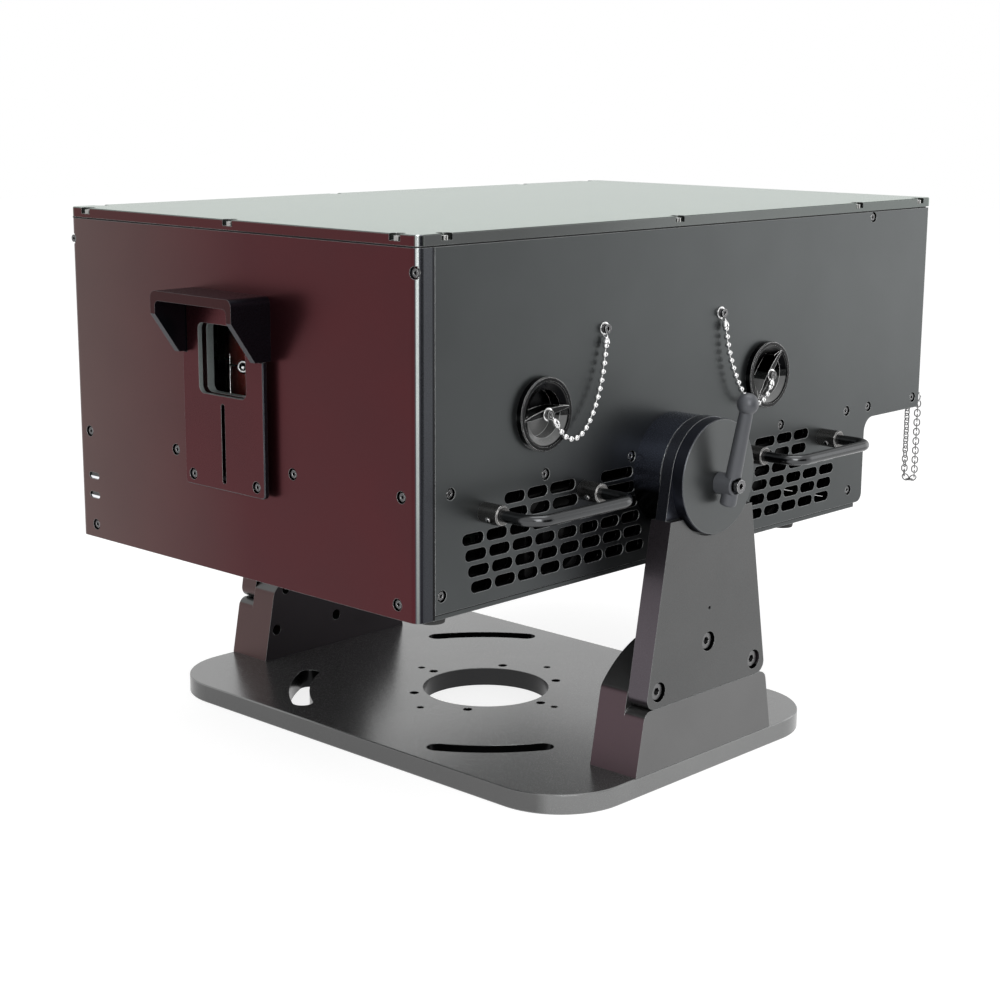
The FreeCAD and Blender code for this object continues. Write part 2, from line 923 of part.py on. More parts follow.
def bayonet(place, angle, radius, thickness, room=0.0):
    """Two opposite sectors on a disc about an axis along X."""
    half = math.radians(bayonet_half_angle + room)
    disc = rod(radius, place, X, thickness)
    reach = 2 * radius
    wedges = []
    for turn in (0, 180):
        middle = math.radians(angle + turn)
        corners = [place]
        for edge in (middle - half, middle + half):
            corners.append(place + Y * (reach * math.cos(edge)) + Z * (reach * math.sin(edge)))
        corners.append(place)
        wedges.append(Part.Face(Part.makePolygon(corners)).extrude(X * thickness))
    return disc.common(wedges[0].fuse(wedges[1]))


def side_panel(with_ports):
    low = above(panel_rise)
    step = above(overhang_underside)
    top = above(plate_top)
    outline = [
        (behind(front_depth + seam), low, 0),
        (behind(lower_length), low, lower_rear_radius),
        (behind(lower_length), step, overhang_inner_radius),
        (rear_y, step, upper_rear_radius),
        (rear_y, top, 0),
        (behind(front_depth + seam), top, 0),
    ]
    panel = plate_yz(outline, (panel_inside, half_width))
    cuts = vent_slots()
    cuts += [screw_room(small, top_at, X, side_screw_length) for top_at in side_screw_tops()]
    cuts += [screw_room(small, top_at, Y * -1, front_screw_length) for top_at in corner_screw_tops()]
    cuts += [screw_room(lid_size, top_at, Z, lid_screw_length) for top_at in lid_screw_tops()[:-1]]
    if with_ports:
        cuts += [port_hole(place, angle) for place, angle in zip(port_places(), cap_fin_angles)]
        for top_at in anchor_tops():
            start = Vector(panel_inside, top_at.y, top_at.z)
            cuts.append(rod(anchor_shank_radius + running, start, X, panel_thickness))
    return panel.cut(cuts)


def front_panel():
    bottom = above(0)
    top = above(plate_top)
    outline = [
        (-half_width, front_y, corner_radius),
        (half_width, front_y, corner_radius),
        (half_width, behind(front_depth), 0),
        (-half_width, behind(front_depth), 0),
    ]
    panel = plate_xy(outline, (bottom, top))
    inside = (-half_width + front_rim, half_width - front_rim)
    depth = (behind(front_wall), behind(front_depth))
    pockets = [
        box(inside, depth, (bottom + front_low_rim, above(bench_rise - front_rib))),
        box(inside, depth, (above(bench_top_rise + front_rib), top - front_rim)),
    ]
    panel = panel.cut(pockets)
    flange = box(
        (panel_inside - seam - flange_thickness, panel_inside - seam),
        (behind(front_depth) - seam, behind(front_depth + flange_depth)),
        (above(panel_rise), top - front_rim),
    )
    notch = box(
        (panel_inside - 2 * flange_thickness, panel_inside),
        (behind(front_depth), behind(front_depth + 2 * flange_depth)),
        (above(bench_rise - seam), above(bench_top_rise + seam)),
    )
    flange = flange.cut(notch)
    panel = panel.fuse(both_sides(flange)).removeSplitter()
    cuts = [window_opening((front_y, behind(front_wall)))]
    cuts += [indicator_bar(rise, (front_y, behind(front_depth))) for rise in indicator_rises]
    for top_at in front_screw_tops() + corner_screw_tops():
        cuts += both_sides(screw_room(small, top_at, Y * -1, front_screw_length))
    for top_at in front_low_screw_tops():
        cuts += both_sides(screw_room(small, top_at, Y * -1, front_low_screw_length))
    for top_at in side_screw_tops():
        cuts += both_sides(screw_room(small, top_at, X, side_screw_length))
    cuts += both_sides(screw_room(lid_size, lid_screw_tops()[-1], Z, lid_screw_length))
    cuts.append(screw_room(lid_size, middle_lid_screw_top(), Z, lid_screw_length))
    for top_at in aperture_screw_tops():
        cuts.append(screw_room(small, top_at, Y * -1, aperture_face + front_wall))
    return panel.cut(cuts)


def window_opening(depth):
    sides = (-window_width / 2, window_width / 2)
    heights = (above(window_rise - window_height / 2), above(window_rise + window_height / 2))
    return plate_xz(rectangle(sides, heights, window_corner), depth)


def indicator_bar(rise, depth):
    sides = (indicator_x - indicator_length / 2, indicator_x + indicator_length / 2)
    heights = (above(rise - indicator_height / 2), above(rise + indicator_height / 2))
    return plate_xz(rectangle(sides, heights, indicator_height / 2), depth)


def indicator_lenses():
    depth = (behind(indicator_sink), behind(front_wall))
    lenses = []
    for rise in indicator_rises:
        sides = (indicator_x - indicator_length / 2 + running, indicator_x + indicator_length / 2 - running)
        half = indicator_height / 2 - running
        lenses.append(plate_xz(rectangle(sides, (above(rise) - half, above(rise) + half), half), depth))
    return lenses


def lid_lug():
    """Block under the lid that the upper side screw holds."""
    outer = panel_inside - seam
    middle = behind(lower_length)
    bottom = above(housing_height - lug_screw_drop) - lug_size / 2
    return box((outer - lug_size, outer), (middle - lug_size / 2, middle + lug_size / 2),
               (bottom, above(housing_height - lid_thickness)))


def top_lid():
    back = rear_y + lid_overhang
    outline = rectangle((-half_width, half_width), (front_y, back), corner_radius)
    under = above(housing_height - lid_thickness)
    top = above(housing_height)
    lid = plate_xy(outline, (under, top))
    lid = lid.makeChamfer(lid_chamfer, at_end(lid, Z, top))
    slope = [
        (back + cut_over, under - cut_over, 0),
        (back + cut_over, under + lid_rear_chamfer + cut_over, 0),
        (back - lid_rear_chamfer - cut_over, under - cut_over, 0),
    ]
    cuts = [plate_yz(slope, (-half_width, half_width))]
    for top_at in lid_screw_tops():
        cuts += both_sides(lid_screw_room(top_at))
    cuts.append(lid_screw_room(middle_lid_screw_top()))
    lid = lid.cut(cuts).fuse(both_sides(lid_lug())).removeSplitter()
    holes = []
    for top_at in side_screw_tops():
        holes += both_sides(screw_room(small, top_at, X, side_screw_length))
    return lid.cut(holes)


def lid_screw_room(top_at):
    """Counterbore that opens at the lid's edge, with the screw's hole below it."""
    seat = top_at - Z * lid_head_height
    counterbore = rod(lid_counterbore_radius, seat, Z, lid_counterbore_depth)
    return counterbore.fuse(rod(lid_shank_radius + running, seat, Z * -1, lid_thickness))


def lid_gasket():
    low = above(plate_top)
    high = low + gasket_thickness
    outer_x = half_width - gasket_inset
    outer_front = front_y + gasket_inset
    outer_back = rear_y - gasket_inset
    band = box((-outer_x, outer_x), (outer_front, outer_back), (low, high))
    inner = box(
        (-outer_x + gasket_width, outer_x - gasket_width),
        (outer_front + gasket_width, outer_back - gasket_width),
        (low, high),
    )
    cuts = [inner]
    for top_at in lid_screw_tops() + [middle_lid_screw_top()]:
        hole = rod(lid_shank_radius + running, Vector(top_at.x, top_at.y, low), Z, gasket_thickness)
        cuts += both_sides(hole)
    return band.cut(cuts)


def bottom_cover():
    top = above(panel_rise)
    outer = half_width - cover_inset
    return box((-outer, outer), (behind(front_depth + seam), behind(lower_length - cover_end)),
               (top - cover_thickness, top))


def optical_bench():
    bench = box((-panel_inside, panel_inside), (behind(front_depth), rear_y - rear_wall),
                (above(bench_rise), above(bench_top_rise)))
    cuts = []
    for top_at in side_screw_tops():
        cuts += both_sides(screw_room(small, top_at, X, side_screw_length))
    for top_at in front_screw_tops():
        cuts += both_sides(screw_room(small, top_at, Y * -1, front_screw_length))
    return bench.cut(cuts)


def rear_panel():
    panel = box((-panel_inside, panel_inside), (rear_y - rear_wall, rear_y),
                (above(overhang_underside), above(plate_top)))
    cuts = [
        rod(round_socket_radius + running, rear_at(round_socket_x, round_socket_rise), Y, rear_wall),
        box_about(rear_at(data_socket_x, data_socket_rise), data_socket_width + seam,
                  data_socket_height + seam, rear_wall),
        rod(inlet_radius + running, rear_at(inlet_x, inlet_rise), Y, rear_wall),
        rod(key_barrel_radius + running, rear_at(key_x, key_rise), Y, rear_wall),
    ]
    for place in rear_stud_places():
        cuts.append(rod(small_shank_radius + running, place - Y * rear_wall, Y, rear_wall))
    return panel.cut(cuts)


def rear_at(x, rise):
    """Point on the rear panel's inner face."""
    return Vector(x, rear_y - rear_wall, above(rise))


def box_about(middle, width, height, depth):
    return box((middle.x - width / 2, middle.x + width / 2), (middle.y, middle.y + depth),
               (middle.z - height / 2, middle.z + height / 2))


def lower_rear_panel():
    outer = behind(lower_length - lower_rear_inset)
    inner = outer - lower_rear_wall
    low = above(panel_rise)
    panel = box((-panel_inside + seam, panel_inside - seam), (inner, outer), (low, above(bench_rise - seam)))
    flange = box((panel_inside - seam - flange_thickness, panel_inside - seam),
                 (inner - flange_depth, inner), (low, low + flange_depth + low_screw_rise))
    panel = panel.fuse(both_sides(flange)).removeSplitter()
    cuts = []
    for top_at in side_screw_tops():
        cuts += both_sides(screw_room(small, top_at, X, side_screw_length))
    return panel.cut(cuts)


def panel_screws():
    screws = []
    for top_at in side_screw_tops():
        screws += both_sides(cap_screw(small, top_at, X, side_screw_length, head_sink_share))
    for top_at in front_screw_tops() + corner_screw_tops():
        screws += both_sides(cap_screw(small, top_at, Y * -1, front_screw_length, head_sink_share))
    for top_at in front_low_screw_tops():
        screws += both_sides(cap_screw(small, top_at, Y * -1, front_low_screw_length, head_sink_share))
    for top_at in aperture_screw_tops():
        screws.append(cap_screw(small, top_at, Y * -1, aperture_face + front_wall, head_sink_share))
    for place in rear_stud_places():
        screws.append(rear_stud(place))
    return screws


def lid_screws():
    screws = []
    for top_at in lid_screw_tops():
        screws += both_sides(cap_screw(lid_size, top_at, Z, lid_screw_length))
    screws.append(cap_screw(lid_size, middle_lid_screw_top(), Z, lid_screw_length))
    return screws


def housing_feet():
    feet = []
    top = above(panel_rise) - cover_thickness
    x = half_width - housing_foot_inset
    for y in (behind(housing_foot_front), behind(lower_length - housing_foot_rear)):
        narrow = housing_foot_radius - housing_foot_taper
        foot = Part.makeCone(housing_foot_radius, narrow, housing_foot_height, Vector(x, y, top), Z * -1)
        feet += both_sides(foot)
    return feet


# Handles
def handle_backs():
    return (handle_inner, handle_outer)


def handle(direction):
    """Bow handle on the +X side; direction picks the rear or the front one."""
    near, far = [direction * y for y in handle_backs()]
    z = above(handle_rise)
    points = [
        Vector(half_width, near, z),
        Vector(half_width + handle_reach, near, z),
        Vector(half_width + handle_reach, far, z),
        Vector(half_width, far, z),
    ]
    return bent_bar(points, handle_bend, handle_radius)


def handle_collar(y):
    start = Vector(half_width, y, above(handle_rise))
    collar = rod(collar_radius, start, X, collar_length)
    collar = collar.makeChamfer(collar_chamfer, at_end(collar, X, half_width + collar_length))
    collar = collar.cut(rod(handle_radius + running, start, X, collar_length))
    return collar.cut(set_screw(y, running))


def set_screw(y, room=0.0):
    """Grub screw in a collar, facing forwards and a little down."""
    dip = math.radians(set_screw_dip)
    out = Vector(0, -math.cos(dip), -math.sin(dip))
    middle = Vector(half_width + collar_length / 2, y, above(handle_rise))
    start = middle + out * (handle_radius + running)
    length = collar_radius - handle_radius - running + set_screw_out
    return rod(set_screw_radius + room, start, out, length)


def collar_places():
    return [direction * y for direction in (-1, 1) for y in handle_backs()]


# Aperture
def aperture_screw_tops():
    z = above(aperture_screw_rise)
    return [Vector(side * aperture_screw_half, front_y - aperture_face, z) for side in (-1, 1)]


def aperture_plate():
    half = aperture_width / 2
    shoulder = hood_width / 2 - hood_wall - seam
    face = front_y - aperture_face
    back = face + aperture_thickness
    top = above(hood_top - hood_roof - seam)
    step = above(hood_low - seam)
    outline = [
        (-half, above(aperture_low), aperture_corner),
        (half, above(aperture_low), aperture_corner),
        (half, step, 0),
        (shoulder, step, 0),
        (shoulder, top, hood_inner_corner),
        (-shoulder, top, hood_inner_corner),
        (-shoulder, step, 0),
        (-half, step, 0),
    ]
    plate = plate_xz(outline, (face, back))
    plate = plate.makeChamfer(aperture_chamfer, at_end(plate, Y, face))
    spacers = []
    for top_at in aperture_screw_tops():
        spacers.append(rod(spacer_radius, Vector(top_at.x, back, top_at.z), Y, front_y - back))
    for side in (-1, 1):
        place = Vector(side * (shoulder - spacer_radius), back, top - spacer_radius)
        spacers.append(rod(spacer_radius, place, Y, front_y - back))
    plate = plate.fuse(spacers).removeSplitter()
    slot = rectangle((-guide_slot_width / 2, guide_slot_width / 2),
                     (above(guide_slot_low), above(guide_slot_high)), guide_slot_width / 2)
    cuts = [window_opening((face, back)), plate_xz(slot, (face, back))]
    for top_at in aperture_screw_tops():
        cuts.append(screw_room(small, top_at, Y * -1, aperture_face + front_wall))
    return plate.cut(cuts)


def mask_blade():
    """Sliding beam mask behind the aperture plate, with its guide pin."""
    face = front_y - aperture_face + aperture_thickness + mask_play
    low = above(mask_rest_rise)
    blade = box((-mask_width / 2, mask_width / 2), (face, front_y - mask_play), (low, low + mask_height))
    pin_length = aperture_thickness + mask_play - mask_pin_short
    pin_at = Vector(0, face, above(guide_slot_low) + mask_pin_rise)
    return blade.fuse(rod(mask_pin_radius, pin_at, Y * -1, pin_length)).removeSplitter()


def aperture_hood():
    half = hood_width / 2
    low = above(hood_low)
    top = above(hood_top)
    outer = [(-half, low, 0), (half, low, 0), (half, top, hood_corner), (-half, top, hood_corner)]
    inside = half - hood_wall
    roof = top - hood_roof
    inner = [
        (-inside, low - cut_over, 0),
        (inside, low - cut_over, 0),
        (inside, roof, hood_inner_corner),
        (-inside, roof, hood_inner_corner),
    ]
    front = front_y - hood_reach
    hood = plate_xz(outer, (front, front_y)).cut(plate_xz(inner, (front, front_y)))
    side = [
        (front_y, low, 0),
        (front_y - hood_low_reach, low, 0),
        (front, above(hood_knee), 0),
        (front, top, 0),
        (front_y, top, 0),
    ]
    return hood.common(plate_yz(side, (-half, half)))


def output_window():
    half_x = window_width / 2 + window_margin
    half_z = window_height / 2 + window_margin
    heights = (above(window_rise) - half_z, above(window_rise) + half_z)
    depth = (behind(front_wall), behind(front_wall + window_thickness))
    return plate_xz(rectangle((-half_x, half_x), heights, window_corner), depth)


# Access-port caps and chains
def anchor_tops():
    """Middle of each anchor screw's head face on the side panel."""
    out = half_width + tab_thickness + anchor_head_height
    return [Vector(out, behind(back), above(port_rise + anchor_above_port)) for back in anchor_backs]


def port_cap(place, fin_angle):
    """Quarter-turn plug: rim, two deep finger wells, the fin between them, stud and bayonet lugs."""
    face = half_width + seam
    rim_x = face + cap_height
    lug_start = panel_inside - seam - bayonet_thickness
    floor_x = lug_start + cap_floor
    waist_x = rim_x - cap_dish
    centre = Vector(0, place.y, place.z)
    flange = rod(cap_radius, centre + X * face, X, cap_height)
    flange = flange.makeChamfer(cap_chamfer, at_end(flange, X, rim_x))
    neck = rod(port_hole_radius, centre + X * lug_start, X, face - lug_start)
    lugs = bayonet(centre + X * lug_start, fin_angle, port_hole_radius + bayonet_reach, bayonet_thickness)
    well_radius = port_hole_radius - cap_wall
    dish = Part.makeCone(well_radius, cap_radius - cap_rim, cap_dish, centre + X * waist_x, X)
    well = rod(well_radius, centre + X * floor_x, X, waist_x - floor_x)
    fin = cap_fin((floor_x, rim_x))
    fin.rotate(Vector(0, 0, 0), X, fin_angle)
    fin.translate(centre)
    body = flange.fuse([neck, lugs]).removeSplitter().cut(dish.fuse(well).cut(fin))
    stud_end = rim_x + tab_thickness + 2 * seam
    stud = rod(cap_stud_radius, centre + X * floor_x, X, stud_end - floor_x)
    head = rod(cap_stud_head_radius, centre + X * stud_end, X, cap_stud_head_height)
    socket = hex_prism(cap_stud_head_radius * hex_share, centre + X * (stud_end + cap_stud_head_height),
                       X * -1, cap_stud_head_height * hex_depth_share)
    return body.fuse([stud, head.cut(socket)]).removeSplitter()


def cap_fin(x):
    """Leaf-shaped bar across the cap, fuller on one side."""
    start, end = x
    near = Vector(start, -cap_radius, 0)
    far = Vector(start, cap_radius, 0)
    edges = [
        Part.Arc(near, Vector(start, 0, cap_fin_rise), far).toShape(),
        Part.Arc(far, Vector(start, 0, -cap_fin_dip), near).toShape(),
    ]
    return Part.Face(Part.Wire(edges)).extrude(X * (end - start))


def chain_points(route, port):
    """Points of a tether chain about its port's middle."""
    return [Vector(half_width + out, port.y + back, port.z + up) for out, back, up in route]


def link_points():
    return [Vector(half_width - side, rear_y + back, above(rise)) for side, back, rise in link_chain]


def tab(centre, hole_radius, chain_end, chain_next, coupling_length):
    """Ring under a screw head, a strip and the coupling that grips the chain's end."""
    thick = X * tab_thickness
    plate = rod(tab_ring_radius, centre, X, tab_thickness)
    along = chain_end - chain_next
    along.normalize()
    coupling = rod(coupling_radius, chain_end, along, coupling_length)
    tip = chain_end + along * (coupling_length / 2)
    away = Vector(0, tip.y - centre.y, tip.z - centre.z)
    reach = away.Length
    away.normalize()
    side = away.cross(X) * (tab_width / 2)
    corners = [centre + side, centre - side, centre - side + away * reach, centre + side + away * reach]
    strip = Part.Face(Part.makePolygon(corners + corners[:1])).extrude(thick)
    rise = tip.x - centre.x
    post = rod(coupling_length / 2, Vector(centre.x, tip.y, tip.z), X, rise)
    whole = plate.fuse([strip, post, coupling]).removeSplitter()
    room = rod(ball_chain_diameter / 2, chain_end, along * -1, coupling_length)
    return whole.cut([rod(hole_radius + running, centre, X, tab_thickness), room])


def chain_tabs():
    tabs = []
    routes = (front_chain, rear_chain)
    for top_at, route, place in zip(anchor_tops(), routes, port_places()):
        points = chain_points(route, place)
        tabs.append(tab(Vector(half_width, top_at.y, top_at.z), anchor_shank_radius, points[0], points[1],
                        anchor_coupling_length))
        cap_seat = half_width + seam + cap_height + seam
        tabs.append(tab(Vector(cap_seat, place.y, place.z), cap_stud_radius, points[-1], points[-2],
                        cap_coupling_length))
    tabs.append(link_hook())
    return tabs


def anchor_screws():
    screws = []
    size = (anchor_head_radius, anchor_head_height, anchor_shank_radius)
    for top_at in anchor_tops():
        screws.append(cap_screw(size, top_at, X, anchor_head_height + anchor_shank_length))
    return screws


def rear_stud_places():
    x = half_width - panel_thickness - rear_stud_inset
    return [Vector(x, rear_y, above(rise)) for rise in rear_stud_rises]


def rear_stud(place):
    """Round-headed thumb screw on the rear panel."""
    head = rod(rear_stud_radius, place, Y, rear_stud_length)
    head = head.makeFillet(lever_edge_round, at_end(head, Y, place.y + rear_stud_length))
    return head.fuse(rod(small_shank_radius, place - Y * rear_wall, Y, rear_wall)).removeSplitter()


def link_hook():
    """Eye on the rear panel that holds the link chain."""
    start = link_points()[0]
    post_at = Vector(start.x - panel_thickness, rear_y, above(rear_anchor_rise))
    half = rear_stud_radius / 2
    post = rod(half, post_at, Y, start.y - rear_y + half)
    hook = box((post_at.x, start.x + half), (start.y - half, start.y + half), (start.z, post_at.z))
    return post.fuse(hook).removeSplitter()


# Optics
def galvo_x_axis():
    return Vector(0, behind(scan_back), above(beam_high))


def galvo_y_axis():
    return Vector(0, behind(scan_back), above(window_rise))


def galvo_motors():
    """One motor along Y for the first mirror and one along X for the second."""
    start_x = galvo_x_axis() + Y * (mirror_x_size[0] / 2 + motor_shaft_length)
    start_y = galvo_y_axis() + X * (mirror_y_size[0] / 2 + motor_shaft_length)
    motors = []
    for start, axis in ((start_x, Y), (start_y, X)):
        body = rod(motor_radius, start, axis, motor_length)
        motors.append(body.cut(rod(motor_shaft_radius + running, start, axis, motor_shaft_length)))
    return motors


def galvo_mirror(middle, axis, size, tilt):
    """Thin mirror on its shaft; the shaft ends inside the motor."""
    length, width = size
    half = mirror_thickness / 2
    plate = box((-length / 2, length / 2), (-width / 2, width / 2), (-half, half))
    shaft_end = length / 2 + 2 * motor_shaft_length - seam
    shaft = rod(motor_shaft_radius, Vector(length / 2 - motor_shaft_radius, 0, 0), X, shaft_end - length / 2)
    mirror = plate.fuse(shaft).removeSplitter()
    mirror.rotate(Vector(0, 0, 0), X, tilt)
    if axis == Y:
        mirror.rotate(Vector(0, 0, 0), Z, 90)
    mirror.translate(middle)
    return mirror


def galvo_block():
    """Machined block on the bench with a bore for each scanner motor."""
    floor = above(bench_top_rise)
    half = motor_radius + block_wall
    x_start = galvo_x_axis().y + mirror_x_size[0] / 2 + motor_shaft_length + block_wall
    y_start = mirror_y_size[0] / 2 + motor_shaft_length + block_wall
    grip = motor_length - 2 * block_wall
    back = galvo_y_axis().y
    rear_top = above(beam_high) + half
    side_top = above(window_rise) + half
    rear_block = box((-half, half), (x_start, x_start + grip), (floor, rear_top))
    side_block = box((y_start, y_start + grip), (back - half, back + half), (floor, side_top))
    foot = box((-half, y_start + grip), (back - half, x_start + grip), (floor, floor + scan_foot_height))
    block = rear_block.fuse([side_block, foot]).removeSplitter()
    cuts = [
        rod(motor_radius + running, galvo_x_axis(), Y, motor_length * 3),
        rod(motor_radius + running, galvo_y_axis(), X, motor_length * 3),
    ]
    return block.cut(cuts)


def laser_places():
    """Middles of the laser heads, spread evenly beside the folding mirrors."""
    first = fold_mirror_x + fold_step
    last = panel_inside - laser_side_gap - laser_width / 2
    step = (last - first) / (laser_count - 1)
    return [first + step * i for i in range(laser_count)]


def laser_modules():
    """Finned laser heads on the bench, noses towards the front."""
    floor = above(bench_top_rise)
    modules = []
    for x in laser_places():
        sides = (x - laser_width / 2, x + laser_width / 2)
        front = behind(laser_back)
        body = box(sides, (front, front + laser_length), (floor, floor + laser_height))
        nose = rod(laser_nose_radius, Vector(x, front, above(beam_high)), Y * -1, laser_nose_length)
        pitch = laser_width / laser_fin_count
        cuts = []
        for i in range(laser_fin_count - 1):
            middle = sides[0] + pitch * (i + 1)
            cuts.append(box((middle - pitch / 4, middle + pitch / 4), (front, front + laser_length),
                            (floor + laser_height - laser_fin_depth, floor + laser_height)))
        modules.append(body.cut(cuts).fuse(nose).removeSplitter())
    return modules


def mount_places():
    """Middle of each combining or folding mirror's face, with the way the face looks."""
    row = behind(combiner_row_back)
    height = above(beam_high)
    places = [(Vector(x, row, height), 135) for x in laser_places()]
    places.append((Vector(fold_mirror_x, row, height), -45))
    places.append((Vector(fold_mirror_x, behind(scan_back), height), 45))
    return places


def mirror_mounts():
    """Posts on the bench with a bored plate behind each mirror."""
    half = mount_plate / 2
    drop = bench_top_rise - beam_high
    mounts = []
    for middle, facing in mount_places():
        rear = -combiner_thickness - mount_plate_thickness
        plate = box((rear, -combiner_thickness), (-half, half), (-half, half))
        plate = plate.cut(rod(mount_bore_radius, Vector(rear, 0, 0), X, mount_plate_thickness))
        post_x = rear + mount_plate_thickness / 2
        bottom = drop + mount_foot_height
        post = rod(mount_post_radius / 2, Vector(post_x, 0, bottom), Z, -half - bottom)
        foot_half = mount_foot / 2
        foot = box((post_x - foot_half, post_x + foot_half), (-foot_half, foot_half), (drop, bottom))
        mount = plate.fuse([post, foot]).removeSplitter()
        mount.rotate(Vector(0, 0, 0), Z, facing)
        mount.translate(middle)
        mounts.append(mount)
    return mounts


def combiner_mirrors():
    mirrors = []
    for middle, facing in mount_places():
        mirror = rod(combiner_radius, Vector(-combiner_thickness, 0, 0), X, combiner_thickness)
        mirror.rotate(Vector(0, 0, 0), Z, facing)
        mirror.translate(middle)
        mirrors.append(mirror)
    return mirrors


def shutter_axis():
    return Vector(solenoid_x, behind(scan_back), above(beam_high - shutter_axis_drop))


def shutter_solenoid():
    axis = shutter_axis()
    half = solenoid_size / 2
    floor = above(bench_top_rise)
    body = box((axis.x - flag_thickness - seam - solenoid_size, axis.x - flag_thickness - seam),
               (axis.y - half, axis.y + half), (floor, axis.z + half))
    bore = rod(shutter_shaft_radius + running, axis - X * (flag_thickness + seam), X * -1, solenoid_size / 2)
    return body.cut(bore)


def shutter_flag():
    """Blade that stands in the beam until the solenoid swings it away."""
    axis = shutter_axis()
    top = above(beam_high) + flag_over
    half = flag_width / 2
    outline = rectangle((axis.y - half, axis.y + half), (axis.z - half, top), flag_corner)
    blade = plate_yz(outline, (axis.x - flag_thickness, axis.x))
    shaft_length = flag_thickness + seam + solenoid_size / 2 - seam
    return blade.fuse(rod(shutter_shaft_radius, axis, X * -1, shaft_length)).removeSplitter()


# Electronics
def power_supply():
    floor = above(panel_rise)
    back = behind(supply_back)
    return box((supply_x - supply_width / 2, supply_x + supply_width / 2), (back, back + supply_length),
               (floor, floor + supply_height))


def driver_boards():
    """Circuit boards on posts over the bottom cover."""
    floor = above(panel_rise)
    boards = []
    for i in range(board_count):
        x = board_x + board_pitch * i
        y = behind(board_back)
        z = floor + board_height
        sides = (x - board_width / 2, x + board_width / 2)
        board = box(sides, (y, y + board_length), (z, z + board_thickness))
        inset = 2 * board_post_radius
        extras = []
        for px in (sides[0] + inset, sides[1] - inset):
            for py in (y + inset, y + board_length - inset):
                extras.append(rod(board_post_radius, Vector(px, py, floor), Z, board_height))
        third = board_width / 3
        extras.append(box((x - third, x), (y + inset * 2, y + board_length / 2),
                          (z + board_thickness, z + board_thickness + board_part_height)))
        extras.append(box((x + inset, x + third), (y + inset * 3, y + board_length - inset * 3),
                          (z + board_thickness, z + board_thickness + board_part_height / 2)))
        boards.append(board.fuse(extras).removeSplitter())
    return boards


def fan_centre(direction):
    return Vector(panel_inside - fan_depth, direction * fan_offset, above(fan_rise))


def fan_frame(direction):
    """Square fan housing with its motor plate and struts on the inner side."""
    centre = fan_centre(direction)
    half = fan_size / 2
    outline = rectangle((centre.y - half, centre.y + half), (centre.z - half, centre.z + half), 2 * fan_strut)
    frame = plate_yz(outline, (centre.x, centre.x + fan_depth))
    frame = frame.cut(rod(fan_bore, centre, X, fan_depth))
    hub = rod(fan_hub_radius, centre, X, fan_strut)
    struts = []
    thick = fan_strut / 2
    for i in range(fan_struts):
        strut = box((centre.x, centre.x + fan_strut), (0, fan_bore + fan_wall), (-thick, thick))
        strut.translate(Vector(0, centre.y, centre.z))
        strut.rotate(centre, X, 90 + 360 * i / fan_struts)
        struts.append(strut)
    frame = frame.fuse([hub] + struts).removeSplitter()
    return frame.cut(rod(fan_pin_radius + running, centre, X, fan_strut))


def fan_rotor(direction):
    """Hub cup with twisted blades on a pin in the motor plate."""
    centre = fan_centre(direction)
    start = centre + X * (fan_strut + seam)
    depth = fan_depth - fan_strut - 4 * seam
    hub = rod(fan_hub_radius, start, X, depth)
    pin = rod(fan_pin_radius, start, X * -1, fan_strut)
    blades = []
    middle = start + X * (depth / 2)
    reach = fan_bore - fan_blade_gap
    for i in range(fan_blades):
        blade = box((-fan_blade_width / 2, fan_blade_width / 2), (fan_hub_radius / 2, fan_bore),
                    (-fan_blade_thickness / 2, fan_blade_thickness / 2))
        blade.rotate(Vector(0, 0, 0), Y, fan_blade_twist)
        blade.rotate(Vector(0, 0, 0), X, 360 * i / fan_blades)
        blade.translate(middle)
        blades.append(blade.common(rod(reach, start, X, depth)))
    return hub.fuse([pin] + blades).removeSplitter()


# Rear sockets and key
def signal_sockets():
    """Capped round socket, which holds the link chain's end, and a flat data socket."""
    inner = rear_at(round_socket_x, round_socket_rise)
    outer = inner + Y * rear_wall
    barrel = rod(round_socket_radius, inner, Y, rear_wall)
    cap = rod(dust_cap_radius, outer, Y, dust_cap_length)
    cap = cap.makeFillet(lever_edge_round, at_end(cap, Y, outer.y + dust_cap_length))
    end = link_points()[-1]
    ear = box((end.x - link_chain_diameter / 2, end.x + link_chain_diameter / 2),
              (end.y - link_chain_diameter / 2, end.y + link_chain_diameter / 2),
              (end.z, outer.z))
    round_socket = barrel.fuse([cap, ear]).removeSplitter()
    middle = rear_at(data_socket_x, data_socket_rise)
    shell = box_about(middle, data_socket_width, data_socket_height, rear_wall + data_socket_length)
    flange = box_about(middle + Y * rear_wall, data_socket_width + 2 * data_flange,
                       data_socket_height + 2 * data_flange, data_flange / 2)
    hollow = box_about(middle + Y * rear_wall, data_socket_width - data_flange,
                       data_socket_height - data_flange, data_socket_length)
    return [round_socket, shell.fuse(flange).removeSplitter().cut(hollow)]


def mains_inlet():
    """Round locking mains inlet on a square flange."""
    inner = rear_at(inlet_x, inlet_rise)
    outer = inner + Y * rear_wall
    flange = box_about(outer, inlet_flange, inlet_flange, inlet_wall)
    barrel = rod(inlet_radius, inner - Y * (inlet_depth - rear_wall), Y, inlet_depth + inlet_length)
    hollow = rod(inlet_radius - inlet_wall, outer - Y * rear_wall, Y, rear_wall + inlet_length + inlet_depth)
    pin = rod(inlet_wall, outer - Y * rear_wall, Y, rear_wall + inlet_length / 2)
    return barrel.fuse(flange).removeSplitter().cut(hollow).fuse(pin).removeSplitter()


def key_axis():
    return rear_at(key_x, key_rise) + Y * rear_wall


